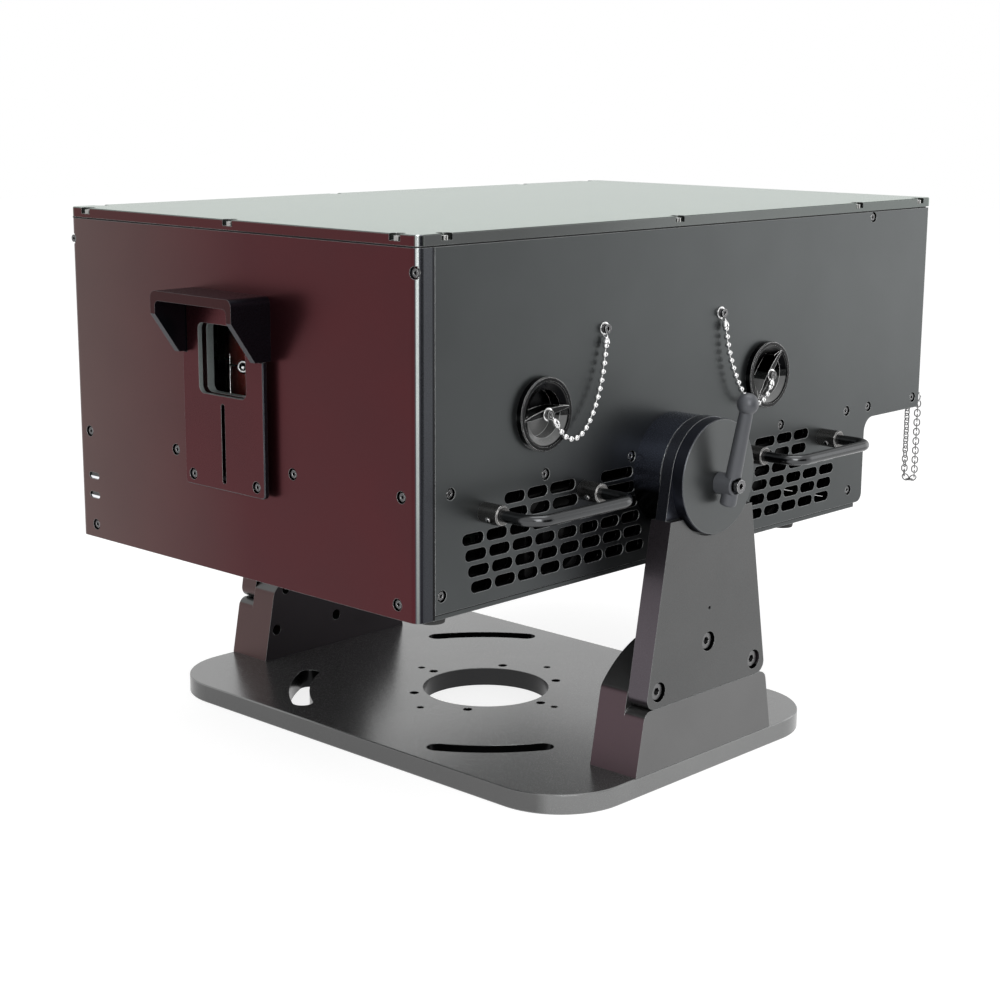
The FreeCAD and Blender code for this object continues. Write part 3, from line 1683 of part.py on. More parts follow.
def key_switch():
    face = key_axis()
    bezel = rod(key_bezel_radius, face, Y, key_bezel_length)
    barrel = rod(key_barrel_radius, face, Y * -1, key_barrel_length)
    bore = rod(key_slot_height / 2 + running, face + Y * key_bezel_length, Y * -1, key_blade_depth)
    return bezel.fuse(barrel).removeSplitter().cut(bore)


def key():
    """Turning core with the key's blade and bow."""
    start = key_axis() + Y * key_bezel_length
    core = rod(key_slot_height / 2, start, Y * -1, key_blade_depth - seam)
    half = key_slot_width / 2
    neck = box((start.x - half, start.x + half), (start.y, start.y + key_bow_radius),
               (start.z - key_slot_height / 2, start.z + key_slot_height / 2))
    bow_at = start + Y * key_bow_out
    bow = rod(key_bow_radius, bow_at - X * half, X, key_slot_width)
    hole = rod(key_bow_hole, bow_at - X * half + Y * (key_bow_radius / 2), X, key_slot_width)
    return core.fuse([neck, bow]).removeSplitter().cut(hole)


def build():
    """All pieces by node name; a list is a group of separate solids."""
    right_arm = arm()
    right_block = foot_block()
    arm_bolts = []
    for top_at in arm_screw_tops():
        arm_bolts.append(cap_screw(large, top_at, X, arm_screw_length, head_sink_share))
    base_bolts = [cap_screw(large, place, Z * -1, base_screw_length) for place in base_screw_places()]
    lever = clamp_lever()
    bolt = clamp_screw()
    front_port, rear_port = port_places()
    front_route = chain_points(front_chain, front_port)
    rear_route = chain_points(rear_chain, rear_port)
    ball_radius = ball_chain_diameter / 2
    link_radius = link_chain_diameter / 2
    parts = {
        "base_plate": base_plate(),
        "foot_block_right": right_block,
        "foot_block_left": mirrored(right_block),
        "arm_right": right_arm,
        "arm_left": mirrored(right_arm),
        "arm_screws": [side for bolt_at in arm_bolts for side in both_sides(bolt_at)],
        "base_screws": [side for bolt_at in base_bolts for side in both_sides(bolt_at)],
        "clamp_discs": both_sides(clamp_disc()),
        "clamp_lever_right": lever,
        "clamp_lever_left": mirrored(lever),
        "clamp_screw_right": bolt,
        "clamp_screw_left": mirrored(bolt),
        "optical_bench": optical_bench(),
        "front_panel": front_panel(),
        "side_panel_right": side_panel(True),
        "side_panel_left": mirrored(side_panel(False)),
        "top_lid": top_lid(),
        "lid_gasket": lid_gasket(),
        "bottom_cover": bottom_cover(),
        "rear_panel": rear_panel(),
        "lower_rear_panel": lower_rear_panel(),
        "pivot_drums": both_sides(pivot_drum()),
        "panel_screws": panel_screws() + anchor_screws(),
        "lid_screws": lid_screws(),
        "housing_feet": housing_feet(),
        "handle_front_right": handle(-1),
        "handle_rear_right": handle(1),
        "handle_front_left": mirrored(handle(-1)),
        "handle_rear_left": mirrored(handle(1)),
        "handle_collars": [side for y in collar_places() for side in both_sides(handle_collar(y))],
        "collar_set_screws": [side for y in collar_places() for side in both_sides(set_screw(y))],
        "aperture_hood": aperture_hood(),
        "aperture_plate": aperture_plate(),
        "mask_blade": mask_blade(),
        "output_window": output_window(),
        "indicator_lenses": indicator_lenses(),
        "chain_tabs": chain_tabs(),
        "tether_chain_front": tube(front_route, ball_radius, cord_bend, "front chain"),
        "tether_chain_rear": tube(rear_route, ball_radius, cord_bend, "rear chain"),
        "dust_cap_chain": tube(link_points(), link_radius, cord_bend, "link chain"),
        "port_cap_front": port_cap(front_port, cap_fin_angles[0]),
        "port_cap_rear": port_cap(rear_port, cap_fin_angles[1]),
        "laser_modules": laser_modules(),
        "mirror_mounts": mirror_mounts(),
        "combiner_mirrors": combiner_mirrors(),
        "galvo_block": galvo_block(),
        "galvo_motors": galvo_motors(),
        "galvo_mirror_x": galvo_mirror(galvo_x_axis(), Y, mirror_x_size, 45),
        "galvo_mirror_y": galvo_mirror(galvo_y_axis(), X, mirror_y_size, 45),
        "shutter_solenoid": shutter_solenoid(),
        "shutter_flag": shutter_flag(),
        "power_supply": power_supply(),
        "driver_boards": driver_boards(),
        "fan_frames": [fan_frame(-1), fan_frame(1)],
        "fan_rotor_front": fan_rotor(-1),
        "fan_rotor_rear": fan_rotor(1),
        "signal_sockets": signal_sockets(),
        "mains_inlet": mains_inlet(),
        "key_switch": key_switch(),
        "key": key(),
    }
    return parts


def main():
    os.makedirs("parts", exist_ok=True)
    for name, shape in build().items():
        if isinstance(shape, list):
            shape = Part.makeCompound(shape)
        shape.exportStep(os.path.join("parts", name + ".step"))


if __name__ == "__main__":
    main()
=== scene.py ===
import math

import bmesh
import bpy
from mathutils import Matrix, Vector


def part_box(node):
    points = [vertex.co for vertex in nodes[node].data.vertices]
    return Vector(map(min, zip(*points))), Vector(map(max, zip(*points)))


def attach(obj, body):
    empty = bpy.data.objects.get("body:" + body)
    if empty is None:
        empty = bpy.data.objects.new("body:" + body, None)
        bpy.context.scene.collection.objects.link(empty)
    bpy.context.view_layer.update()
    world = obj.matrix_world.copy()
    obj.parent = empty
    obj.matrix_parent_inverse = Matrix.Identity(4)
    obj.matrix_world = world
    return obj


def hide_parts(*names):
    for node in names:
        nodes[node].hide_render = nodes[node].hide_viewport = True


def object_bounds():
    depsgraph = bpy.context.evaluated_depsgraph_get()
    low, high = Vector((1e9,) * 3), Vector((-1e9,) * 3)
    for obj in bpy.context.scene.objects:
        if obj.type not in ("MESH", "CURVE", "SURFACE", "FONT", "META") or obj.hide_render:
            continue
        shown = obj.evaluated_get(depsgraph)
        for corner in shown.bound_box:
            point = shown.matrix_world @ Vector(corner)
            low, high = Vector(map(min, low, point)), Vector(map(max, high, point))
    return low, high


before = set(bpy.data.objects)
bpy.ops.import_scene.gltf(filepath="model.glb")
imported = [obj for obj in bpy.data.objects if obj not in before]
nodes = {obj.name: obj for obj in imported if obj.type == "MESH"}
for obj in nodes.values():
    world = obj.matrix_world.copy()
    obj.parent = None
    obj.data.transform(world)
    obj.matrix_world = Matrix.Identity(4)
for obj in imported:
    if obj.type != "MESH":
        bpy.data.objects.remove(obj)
cad_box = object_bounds()
scene = bpy.context.scene


# Camera, at the photograph's viewing angle.
camera_place = (1.0478, -1.1003, 0.5007)
camera_turn = 43.197
camera_pitch = 77.77
camera_roll = 0.3635
camera_lens = 69.8
camera_sensor = 36.0

lens = bpy.data.cameras.new("camera")
lens.lens = camera_lens
lens.sensor_width = camera_sensor
camera = bpy.data.objects.new("camera", lens)
scene.collection.objects.link(camera)
camera.matrix_world = (
    Matrix.Translation(camera_place)
    @ Matrix.Rotation(math.radians(camera_turn), 4, "Z")
    @ Matrix.Rotation(math.radians(camera_pitch), 4, "X")
    @ Matrix.Rotation(math.radians(camera_roll), 4, "Z")
)
scene.camera = camera


# Materials.
def add(tree, kind, inputs=None, **settings):
    """A new node, with its settings, and its inputs set or linked."""
    node = tree.nodes.new(kind)
    for key, value in settings.items():
        setattr(node, key, value)
    for key, value in (inputs or {}).items():
        if isinstance(value, bpy.types.NodeSocket):
            tree.links.new(value, node.inputs[key])
        else:
            node.inputs[key].default_value = value
    return node


def arithmetic(tree, operation, first, second):
    """The result of an operation on two values."""
    return add(tree, "ShaderNodeMath", {0: first, 1: second}, operation=operation).outputs[0]


def ramp(tree, value, low, high, to_low, to_high):
    """A value carried from one range to another, and held at its ends."""
    inputs = {"Value": value, "From Min": low, "From Max": high,
              "To Min": to_low, "To Max": to_high}
    return add(tree, "ShaderNodeMapRange", inputs).outputs["Result"]


def share_of(tree, value, span):
    """How far a value lies along a span, from 0 to 1."""
    return ramp(tree, value, *span, 0.0, 1.0)


def blend_colour(tree, share, first, second):
    """A colour between two, by a share."""
    node = add(tree, "ShaderNodeMix", data_type="RGBA")
    sockets = (node.inputs[0], node.inputs[6], node.inputs[7])
    for socket, value in zip(sockets, (share, first, second)):
        if isinstance(value, bpy.types.NodeSocket):
            tree.links.new(value, socket)
        else:
            socket.default_value = value
    return node.outputs[2]


def rgb(colour, factor=1.0):
    """A colour with its alpha, made lighter or darker by a factor."""
    return tuple(min(1.0, part * factor) for part in colour) + (1.0,)


def noise(tree, place, scale, detail=3.0):
    """Noise of a given number of features per metre."""
    inputs = {"Vector": place, "Scale": scale, "Detail": detail}
    return add(tree, "ShaderNodeTexNoise", inputs).outputs["Fac"]


def coordinates(tree, vector):
    """The X, Y and Z of a vector."""
    return add(tree, "ShaderNodeSeparateXYZ", {"Vector": vector}).outputs


REGION_EDGE = 0.00015


def region(tree, place, limits, soft=REGION_EDGE):
    """1 inside a region of the object and 0 outside it, from the limits of its coordinates.

    A limit is on X, Y or Z, on its size alone (side X, side Y), or on the radius about the Z axis.
    """
    parts = coordinates(tree, place)
    flat = add(tree, "ShaderNodeCombineXYZ", {"X": parts["X"], "Y": parts["Y"]}).outputs["Vector"]
    mask = None
    for name, low, high in limits:
        if name == "radius":
            length = add(tree, "ShaderNodeVectorMath", {0: flat}, operation="LENGTH")
            value = length.outputs["Value"]
        elif name.startswith("side"):
            size = add(tree, "ShaderNodeMath", {0: parts[name[-1]]}, operation="ABSOLUTE")
            value = size.outputs[0]
        else:
            value = parts[name]
        for edge, sign in ((low, 1.0), (high, -1.0)):
            if edge is None:
                continue
            inside = share_of(tree, value, (edge - sign * soft, edge + sign * soft))
            mask = inside if mask is None else arithmetic(tree, "MULTIPLY", mask, inside)
    return mask


# Spans over which a look changes: of the normal's Y and X, of the place's X and Z, of the turn of a
# rounded edge, of the noises and of the openness of a hollow.
FRONT_TURN = (-0.82, -0.90)
INNER_TURN = (0.9, 0.98)
EDGE_TURN = (-0.9, -0.7)
FAR_SIDE = (0.02, -0.185)
HOUSING_RISE = (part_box("front_panel")[0].z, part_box("top_lid")[1].z)
WEAR_HIGHLIGHT_TURN = (0.985, 0.9)
BROAD_SPAN = (0.35, 0.65)
FINE_SPAN = (0.3, 0.7)
OPEN_SPAN = (0.45, 0.75)

BROAD_SCALE = 16.0
BROAD_DETAIL = 5.0
BARE_METALLIC = 0.1
MOTTLE_SHADE = 0.3
BEVEL_SAMPLES = 6
CREVICE_SAMPLES = 8
# Near black, used as painted shade in insides, slots, holes, gaps, undersides and wells.
HOLLOW_SHADE = (0.004, 0.004, 0.0045)

looks = {}


def finish(name, colour, metallic, roughness, grain=0.0004, relief=0.00001, spread=0.05, mottle=0.1,
           edge=0.0004, edge_wear_and_highlight=None, front=None, far_front_reflection=None, inner_shade=None, bare=None, patches=(),
           patch_edge=REGION_EDGE, specular=0.5, shaded_black=(), crevice_shade_depth=None, tint=None, shade=None):
    """A surface with grain, uneven gloss and edges that catch the light, kept in looks.

    worn is the colour of its edges, partly rubbed metal and partly a painted highlight. front is a
    painted reflection colour on the faces towards -Y (a painted shade on the base plate), which
    goes over to far_front_reflection at the far side, and inner is a painted shade on the faces
    towards +X. bare is a region whose cut faces show metal, and the metal's colour. Each patch is a
    region and its colour, most of them painted shade, with the colour it fades to at the housing's
    foot, a painted shade.
    shade is a region, its colour and its soft edge, a painted shade; dull lists the regions painted
    near black as shade; crevice is the depth at which hollows darken as painted shade; and tint
    colours the gloss.
    """
    material = bpy.data.materials.new(name)
    material.use_nodes = True
    tree = material.node_tree
    shader = tree.nodes["Principled BSDF"]
    texture = add(tree, "ShaderNodeTexCoord")
    place = texture.outputs["Object"]
    fine = noise(tree, place, 1.0 / grain)
    broad = noise(tree, place, BROAD_SCALE, BROAD_DETAIL)
    base = rgb(colour)
    across = coordinates(tree, texture.outputs["Normal"])
    # Faces towards -Y take a painted reflection, which goes over to another at the far side.
    if front:
        facing = share_of(tree, across["Y"], FRONT_TURN)
        front_colour = rgb(front)
        if far_front_reflection:
            far = share_of(tree, coordinates(tree, place)["X"], FAR_SIDE)
            front_colour = blend_colour(tree, far, rgb(front), rgb(far_front_reflection))
        base = blend_colour(tree, facing, base, front_colour)
    # Faces towards +X take a painted shade.
    if inner_shade:
        base = blend_colour(tree, share_of(tree, across["X"], INNER_TURN), base, rgb(inner_shade))
    if bare:
        limits, bare_colour = bare
        edge_on = share_of(tree, across["Y"], EDGE_TURN)
        share = arithmetic(tree, "MULTIPLY", edge_on, region(tree, place, limits))
        base = blend_colour(tree, share, base, rgb(bare_colour))
        bare_metallic = ramp(tree, share, 0.0, 1.0, metallic, BARE_METALLIC)
        tree.links.new(bare_metallic, shader.inputs["Metallic"])
    # A painted shade: a darker region with a soft edge.
    if shade:
        limits, shade_colour, soft = shade
        base = blend_colour(tree, region(tree, place, limits, soft), base, rgb(shade_colour))
    # A patch with a foot colour darkens towards the housing's foot, a painted shade.
    for limits, patch_colour, *foot_colour in patches:
        patch = rgb(patch_colour)
        if foot_colour:
            rise = share_of(tree, coordinates(tree, place)["Z"], HOUSING_RISE)
            patch = blend_colour(tree, rise, rgb(foot_colour[0]), patch)
        base = blend_colour(tree, region(tree, place, limits, patch_edge), base, patch)
    # Regions painted near black and set fully metallic, so that they show almost no gloss: a
    # painted shade.
    black = None
    for limits in shaded_black:
        share = region(tree, place, limits)
        base = blend_colour(tree, share, base, rgb(HOLLOW_SHADE))
        black = share if black is None else arithmetic(tree, "MAXIMUM", share, black)
    if black:
        tree.links.new(black, shader.inputs["Metallic"])
    dark = blend_colour(tree, mottle, base, rgb(colour, MOTTLE_SHADE))
    base = blend_colour(tree, share_of(tree, broad, BROAD_SPAN), dark, base)
    bevel = add(tree, "ShaderNodeBevel", {"Radius": edge}, samples=BEVEL_SAMPLES)
    rounded = bevel.outputs["Normal"]
    # Edges take a lighter colour, partly rubbed metal and partly a painted highlight.
    if edge_wear_and_highlight:
        true_normal = add(tree, "ShaderNodeNewGeometry").outputs["Normal"]
        turn = add(tree, "ShaderNodeVectorMath", {0: rounded, 1: true_normal},
                   operation="DOT_PRODUCT")
        wear_and_highlight = share_of(tree, turn.outputs["Value"], WEAR_HIGHLIGHT_TURN)
        base = blend_colour(tree, wear_and_highlight, base, rgb(edge_wear_and_highlight))
    # Hollows darken by ambient occlusion, a painted shade.
    if crevice_shade_depth:
        hollow = add(tree, "ShaderNodeAmbientOcclusion", {"Distance": crevice_shade_depth},
                     samples=CREVICE_SAMPLES)
        openness = share_of(tree, hollow.outputs["AO"], OPEN_SPAN)
        base = blend_colour(tree, openness, rgb(HOLLOW_SHADE), base)
    tree.links.new(base, shader.inputs["Base Color"])
    gloss = ramp(tree, fine, *FINE_SPAN, roughness - spread, roughness + spread)
    tree.links.new(gloss, shader.inputs["Roughness"])
    raised = add(tree, "ShaderNodeBump", {"Height": fine, "Distance": relief, "Normal": rounded})
    tree.links.new(raised.outputs["Normal"], shader.inputs["Normal"])
    shader.inputs["Metallic"].default_value = metallic
    shader.inputs["Specular IOR Level"].default_value = specular
    if tint:
        shader.inputs["Specular Tint"].default_value = rgb(tint)
    looks[name] = material
    return material


PANEL = (0.066, 0.071, 0.072)
# A painted dark reflection of the arm on the side panels.
PANEL_SHADE = (0.020, 0.0215, 0.024)
# Painted reflections on faces towards -Y: these two, and the front colours of the arm, foot, far
# bracket and hood below.
MAROON_REFLECTION = (0.072, 0.0165, 0.0200)
GREY_BROWN_REFLECTION = (0.102, 0.063, 0.060)
ARM = (0.107, 0.108, 0.108)
ARM_FRONT = (0.100, 0.086, 0.098)
# A painted shade on the arm's head, darker and bluer than the arm.
ARM_HEAD = (0.060, 0.064, 0.080)
FOOT_FRONT = (0.088, 0.060, 0.069)
# A painted shade on the far bracket's faces towards +X.
FAR_INNER_SHADE = (0.026, 0.022, 0.025)
FAR_FRONT = (0.085, 0.052, 0.051)
BARE_EDGE = (0.21, 0.235, 0.23)
# EDGE and HOOD_EDGE colour the edges, partly rubbed metal and partly a painted highlight.
EDGE = (0.30, 0.31, 0.31)
HOOD_EDGE = (0.13, 0.125, 0.13)
HOOD_FRONT = (0.036, 0.009, 0.010)
LID = (0.119, 0.129, 0.122)
# A painted shade on the lid's sides.
LID_SIDE = (0.085, 0.088, 0.088)
LID_TINT = (0.89, 1.0, 0.93)
# Painted shade on the front panel's return and beside its corner, and a painted highlight along the
# corner, each darker towards the housing's foot; the seam is a dark joint, darkening towards the
# foot as painted shade.
RETURN = (0.074, 0.078, 0.086)
RETURN_FOOT = (0.036, 0.038, 0.044)
SEAM = (0.028, 0.029, 0.032)
SEAM_FOOT = (0.006, 0.006, 0.007)
CORNER_HIGHLIGHT = (0.64, 0.68, 0.67)
CORNER_HIGHLIGHT_FOOT = (0.175, 0.19, 0.185)
CORNER_SHADE = (0.070, 0.073, 0.083)
CORNER_SHADE_FOOT = (0.013, 0.013, 0.017)
# A painted shade on the base plate's faces towards -Y, and in its bore.
BASE_FRONT = (0.12, 0.12, 0.12)
BORE = (0.030, 0.030, 0.031)
# A painted shade on the clamp discs' rims.
DISC_RIM = (0.034, 0.037, 0.050)
# A painted light in the lower part of the caps' wells.
CAP_LOW_LIGHT = (0.145, 0.147, 0.146)
# Edge colours of the other looks, partly rubbed metal and partly a painted highlight.
WEAR_HIGHLIGHT_DARK = (0.45, 0.45, 0.45)
WEAR_HIGHLIGHT_BLACK = (0.6, 0.6, 0.6)
WEAR_HIGHLIGHT_STEEL = (0.7, 0.7, 0.7)
WEAR_HIGHLIGHT_BRIGHT = (0.8, 0.8, 0.8)
WEAR_HIGHLIGHT_PLASTIC = (0.10, 0.10, 0.10)

# Regions that take another colour in a look. Most hold painted shade: the insides, slots, holes,
# bore, gaps and undersides, the region beside the arm, a painted dark reflection, the corner, the
# return, the lid's sides, the arm's head and the disc's rim. Along the corner runs a painted
# highlight, the seam is a dark joint that darkens towards the foot as painted shade, and the sides
# of the window and the plate show bare metal. Insides lie under the outer skin of their panel.
SIDE_SKIN = 0.1846
panel_inside = [("side X", None, SIDE_SKIN)]
panel_shade_by_arm = [("Y", -0.137, 0.0), ("Z", 0.165, 0.250)]
PANEL_SOFT = 0.028
cover_rim = [("side X", 0.1825, None), ("Z", 0.1584, None)]
cover_inside = [("side X", None, 0.1815), ("Y", None, 0.2530), ("Z", 0.1590, None)]
rear_inside = [("Y", 0.3, 0.3400)]
window_sides = [("side X", None, 0.05), ("Z", 0.27, 0.37)]
front_inside = [("side X", 0.05, 0.1775), ("Y", -0.2576, None)]
front_return = [("side X", 0.1847, None), ("Y", -0.2530, None)]
front_seam = [("side X", SIDE_SKIN, None), ("Y", -0.2445, None)]
corner_shade = [("side X", 0.1842, 0.1850), ("Y", None, -0.2531)]
corner_highlight = [("side X", 0.1826, 0.1839), ("Y", None, -0.2545)]
plate_sides = [("Z", 0.284, None), ("side X", None, 0.03)]
plate_slot = [("side X", None, 0.037), ("Z", None, 0.282), ("Y", -0.2652, None)]
LID_FRONT = -0.2515
lid_behind = [("Y", LID_FRONT, None)]
lid_sides = [("side X", SIDE_SKIN, None), ("Y", LID_FRONT, None)]
BASE_SKIN = 0.0146
base_slots = [("radius", 0.056, 0.1607), ("side Y", None, 0.1565), ("Z", None, BASE_SKIN)]
base_bore = [("radius", None, 0.0555), ("Z", None, BASE_SKIN)]
arm_holes = [("side X", 0.2, 0.2246), ("side Y", None, 0.062), ("Z", 0.065, 0.115)]
arm_head = [("Z", 0.1968, None)]
drum_underside = [("Z", None, 0.218)]
DRUM_SOFT = 0.004
disc_rim = [("side X", None, 0.2297)]
lid_screw_foot = [("Z", None, 0.4012)]

# The caps' wells are painted near black above the middle, at the front end and at the lip, a
# painted shade that leaves them almost no gloss, and painted paler below the middle, a painted
# light.
WELL_DEPTH = ("X", None, 0.1896)
WELL_LIP = ("X", 0.1898, 0.1904)
WELL_TOP = 0.002
WELL_FOOT = -0.003
WELL_END = -0.018
WELL_START = -0.017
cap_shaded_black = []
cap_painted_light = []
for cap in ("port_cap_front", "port_cap_rear"):
    cap_start, cap_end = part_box(cap)
    cap_y = (cap_start.y + cap_end.y) / 2.0
    cap_z = (cap_start.z + cap_end.z) / 2.0
    cap_span = ("Y", cap_start.y, cap_end.y)
    cap_shaded_black.append([WELL_DEPTH, ("Z", cap_z + WELL_TOP, None), cap_span])
    cap_shaded_black.append([WELL_DEPTH, ("Y", cap_start.y, cap_y + WELL_END)])
    cap_shaded_black.append([WELL_LIP, cap_span])
    low_well = [WELL_DEPTH, ("Z", None, cap_z + WELL_FOOT), ("Y", cap_y + WELL_START, cap_end.y)]
    cap_painted_light.append((low_well, CAP_LOW_LIGHT))

# Name, colour, metallic and roughness of each look, and what else it has.
finish("panel_black", PANEL, 0.9, 0.35, edge=0.0007, edge_wear_and_highlight=EDGE,
       shade=(panel_shade_by_arm, PANEL_SHADE, PANEL_SOFT), patches=[(panel_inside, HOLLOW_SHADE)])
finish("cover_black", PANEL, 0.9, 0.35, edge=0.0007, edge_wear_and_highlight=EDGE,
       patches=[(cover_rim, HOLLOW_SHADE), (cover_inside, HOLLOW_SHADE), (rear_inside, HOLLOW_SHADE)])
finish("front_maroon_reflection", (0.066, 0.069, 0.079), 0.9, 0.28, edge_wear_and_highlight=EDGE, front=MAROON_REFLECTION,
       far_front_reflection=GREY_BROWN_REFLECTION, bare=(window_sides, BARE_EDGE),
       patches=[(front_inside, HOLLOW_SHADE), (front_return, RETURN, RETURN_FOOT),
                (front_seam, SEAM, SEAM_FOOT), (corner_shade, CORNER_SHADE, CORNER_SHADE_FOOT),
                (corner_highlight, CORNER_HIGHLIGHT, CORNER_HIGHLIGHT_FOOT)])
finish("plate_maroon_reflection", (0.030, 0.033, 0.042), 0.9, 0.28, edge_wear_and_highlight=EDGE, front=MAROON_REFLECTION,
       bare=(plate_sides, BARE_EDGE), patches=[(plate_slot, HOLLOW_SHADE)])
finish("hood_black", (0.018, 0.019, 0.026), 0.9, 0.28, edge_wear_and_highlight=HOOD_EDGE, front=HOOD_FRONT)
finish("lid_black", LID, 0.9, 0.18, edge_wear_and_highlight=EDGE, front=MAROON_REFLECTION, tint=LID_TINT,
       patches=[(lid_behind, LID), (lid_sides, LID_SIDE), (corner_shade, CORNER_SHADE),
                (corner_highlight, CORNER_HIGHLIGHT)])
finish("base_black", (0.222, 0.224, 0.223), 0.75, 0.24, edge_wear_and_highlight=EDGE, front=BASE_FRONT,
       patches=[(base_slots, HOLLOW_SHADE), (base_bore, BORE)])
finish("arm_black", ARM, 0.9, 0.30, edge_wear_and_highlight=EDGE, front=ARM_FRONT,
       patches=[(arm_holes, HOLLOW_SHADE), (arm_head, ARM_HEAD)])
finish("foot_black", (0.155, 0.155, 0.155), 0.9, 0.32, edge_wear_and_highlight=EDGE, front=FOOT_FRONT)
finish("far_bracket_black", ARM, 0.9, 0.32, edge_wear_and_highlight=EDGE, inner_shade=FAR_INNER_SHADE, front=FAR_FRONT)
finish("drum_black", (0.085, 0.094, 0.125), 0.9, 0.25, edge_wear_and_highlight=EDGE,
       patches=[(drum_underside, HOLLOW_SHADE)], patch_edge=DRUM_SOFT)
finish("disc_grey", (0.095, 0.100, 0.101), 0.9, 0.34, spread=0.03, edge_wear_and_highlight=EDGE,
       patches=[(disc_rim, DISC_RIM)])
finish("handle_steel", (0.074, 0.076, 0.078), 1.0, 0.2, spread=0.03)
finish("collar_steel", (0.115, 0.112, 0.109), 0.95, 0.28, edge=0.0006, edge_wear_and_highlight=WEAR_HIGHLIGHT_BRIGHT)
finish("dark_steel", (0.17, 0.17, 0.172), 1.0, 0.30, edge_wear_and_highlight=WEAR_HIGHLIGHT_DARK, crevice_shade_depth=0.003)
finish("screw_black", (0.10, 0.10, 0.102), 1.0, 0.22, edge_wear_and_highlight=WEAR_HIGHLIGHT_BLACK, crevice_shade_depth=0.0016)
finish("lid_screw_steel", (0.36, 0.36, 0.35), 1.0, 0.25, edge_wear_and_highlight=WEAR_HIGHLIGHT_STEEL,
       patches=[(lid_screw_foot, HOLLOW_SHADE)])
finish("bright_steel", (0.72, 0.72, 0.72), 1.0, 0.12, spread=0.03)
finish("clamp_steel", (0.17, 0.17, 0.175), 1.0, 0.2, edge_wear_and_highlight=WEAR_HIGHLIGHT_STEEL)
finish("link_steel", (0.24, 0.24, 0.24), 1.0, 0.22, spread=0.04)
finish("lever_grey", (0.084, 0.088, 0.097), 0.3, 0.42, grain=0.0005, relief=0.00003)
finish("bare_aluminium", (0.20, 0.20, 0.20), 1.0, 0.30)
finish("black_rubber", (0.018, 0.018, 0.018), 0.0, 0.62, grain=0.0008, relief=0.00003)
finish("black_plastic", (0.010, 0.011, 0.011), 0.0, 0.26, spread=0.04, relief=0.000003, edge=0.0005,
       edge_wear_and_highlight=WEAR_HIGHLIGHT_BRIGHT, shaded_black=cap_shaded_black, patches=cap_painted_light)
finish("matt_plastic", (0.004, 0.004, 0.004), 0.0, 0.5, relief=0.00002, specular=0.1)
finish("socket_plastic", (0.016, 0.016, 0.017), 0.0, 0.42, relief=0.00002, edge_wear_and_highlight=WEAR_HIGHLIGHT_PLASTIC)
# Parts inside the housing: black, made darker and duller still as a painted shade.
finish("inner_black_and_shade", (0.003, 0.003, 0.0035), 0.0, 0.7, specular=0.1)
finish("baffle_red", (0.30, 0.034, 0.024), 0.1, 0.4, mottle=0.6)
# Dark green boards, darkened further as a painted shade inside the housing.
finish("board_green", (0.006, 0.020, 0.011), 0.0, 0.4)
finish("post_chrome", (0.7, 0.7, 0.7), 1.0, 0.14)
finish("switch_steel", (0.36, 0.36, 0.365), 1.0, 0.28, edge_wear_and_highlight=WEAR_HIGHLIGHT_STEEL)
finish("coated_mirror", (0.82, 0.80, 0.78), 1.0, 0.05, spread=0.02, relief=0.0000005)

COATED_IOR = 1.05
INDICATOR_LIT = 0.0019
INDICATOR_HEIGHT = 0.005
INDICATOR_COLOUR = (0.95, 0.96, 1.0)
INDICATOR_GLOW = 0.95


def clear_glass():
    """Coated window glass, with faint wipe marks in its gloss."""
    material = finish("clear_glass", (0.95, 0.96, 0.96), 0.0, 0.04, grain=0.004,
                      relief=0.0000005, spread=0.03)
    shader = material.node_tree.nodes["Principled BSDF"]
    shader.inputs["Transmission Weight"].default_value = 1.0
    shader.inputs["IOR"].default_value = COATED_IOR


def lit_lens():
    """Dark lenses, each with a painted glow, white below its middle."""
    material = finish("lit_lens", (0.02, 0.02, 0.02), 0.0, 0.25, grain=0.002)
    tree = material.node_tree
    shader = tree.nodes["Principled BSDF"]
    shader.inputs["Emission Color"].default_value = rgb(INDICATOR_COLOUR)
    low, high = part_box("indicator_lenses")
    place = add(tree, "ShaderNodeTexCoord").outputs["Object"]
    lower = region(tree, place, [("Z", None, low.z + INDICATOR_LIT)])
    upper_start = (low.z + high.z) / 2.0
    upper_end = high.z - INDICATOR_HEIGHT + INDICATOR_LIT
    upper = region(tree, place, [("Z", upper_start, upper_end)])
    lit = arithmetic(tree, "MAXIMUM", lower, upper)
    glow = ramp(tree, lit, 0.0, 1.0, 0.0, INDICATOR_GLOW)
    tree.links.new(glow, shader.inputs["Emission Strength"])


clear_glass()
lit_lens()

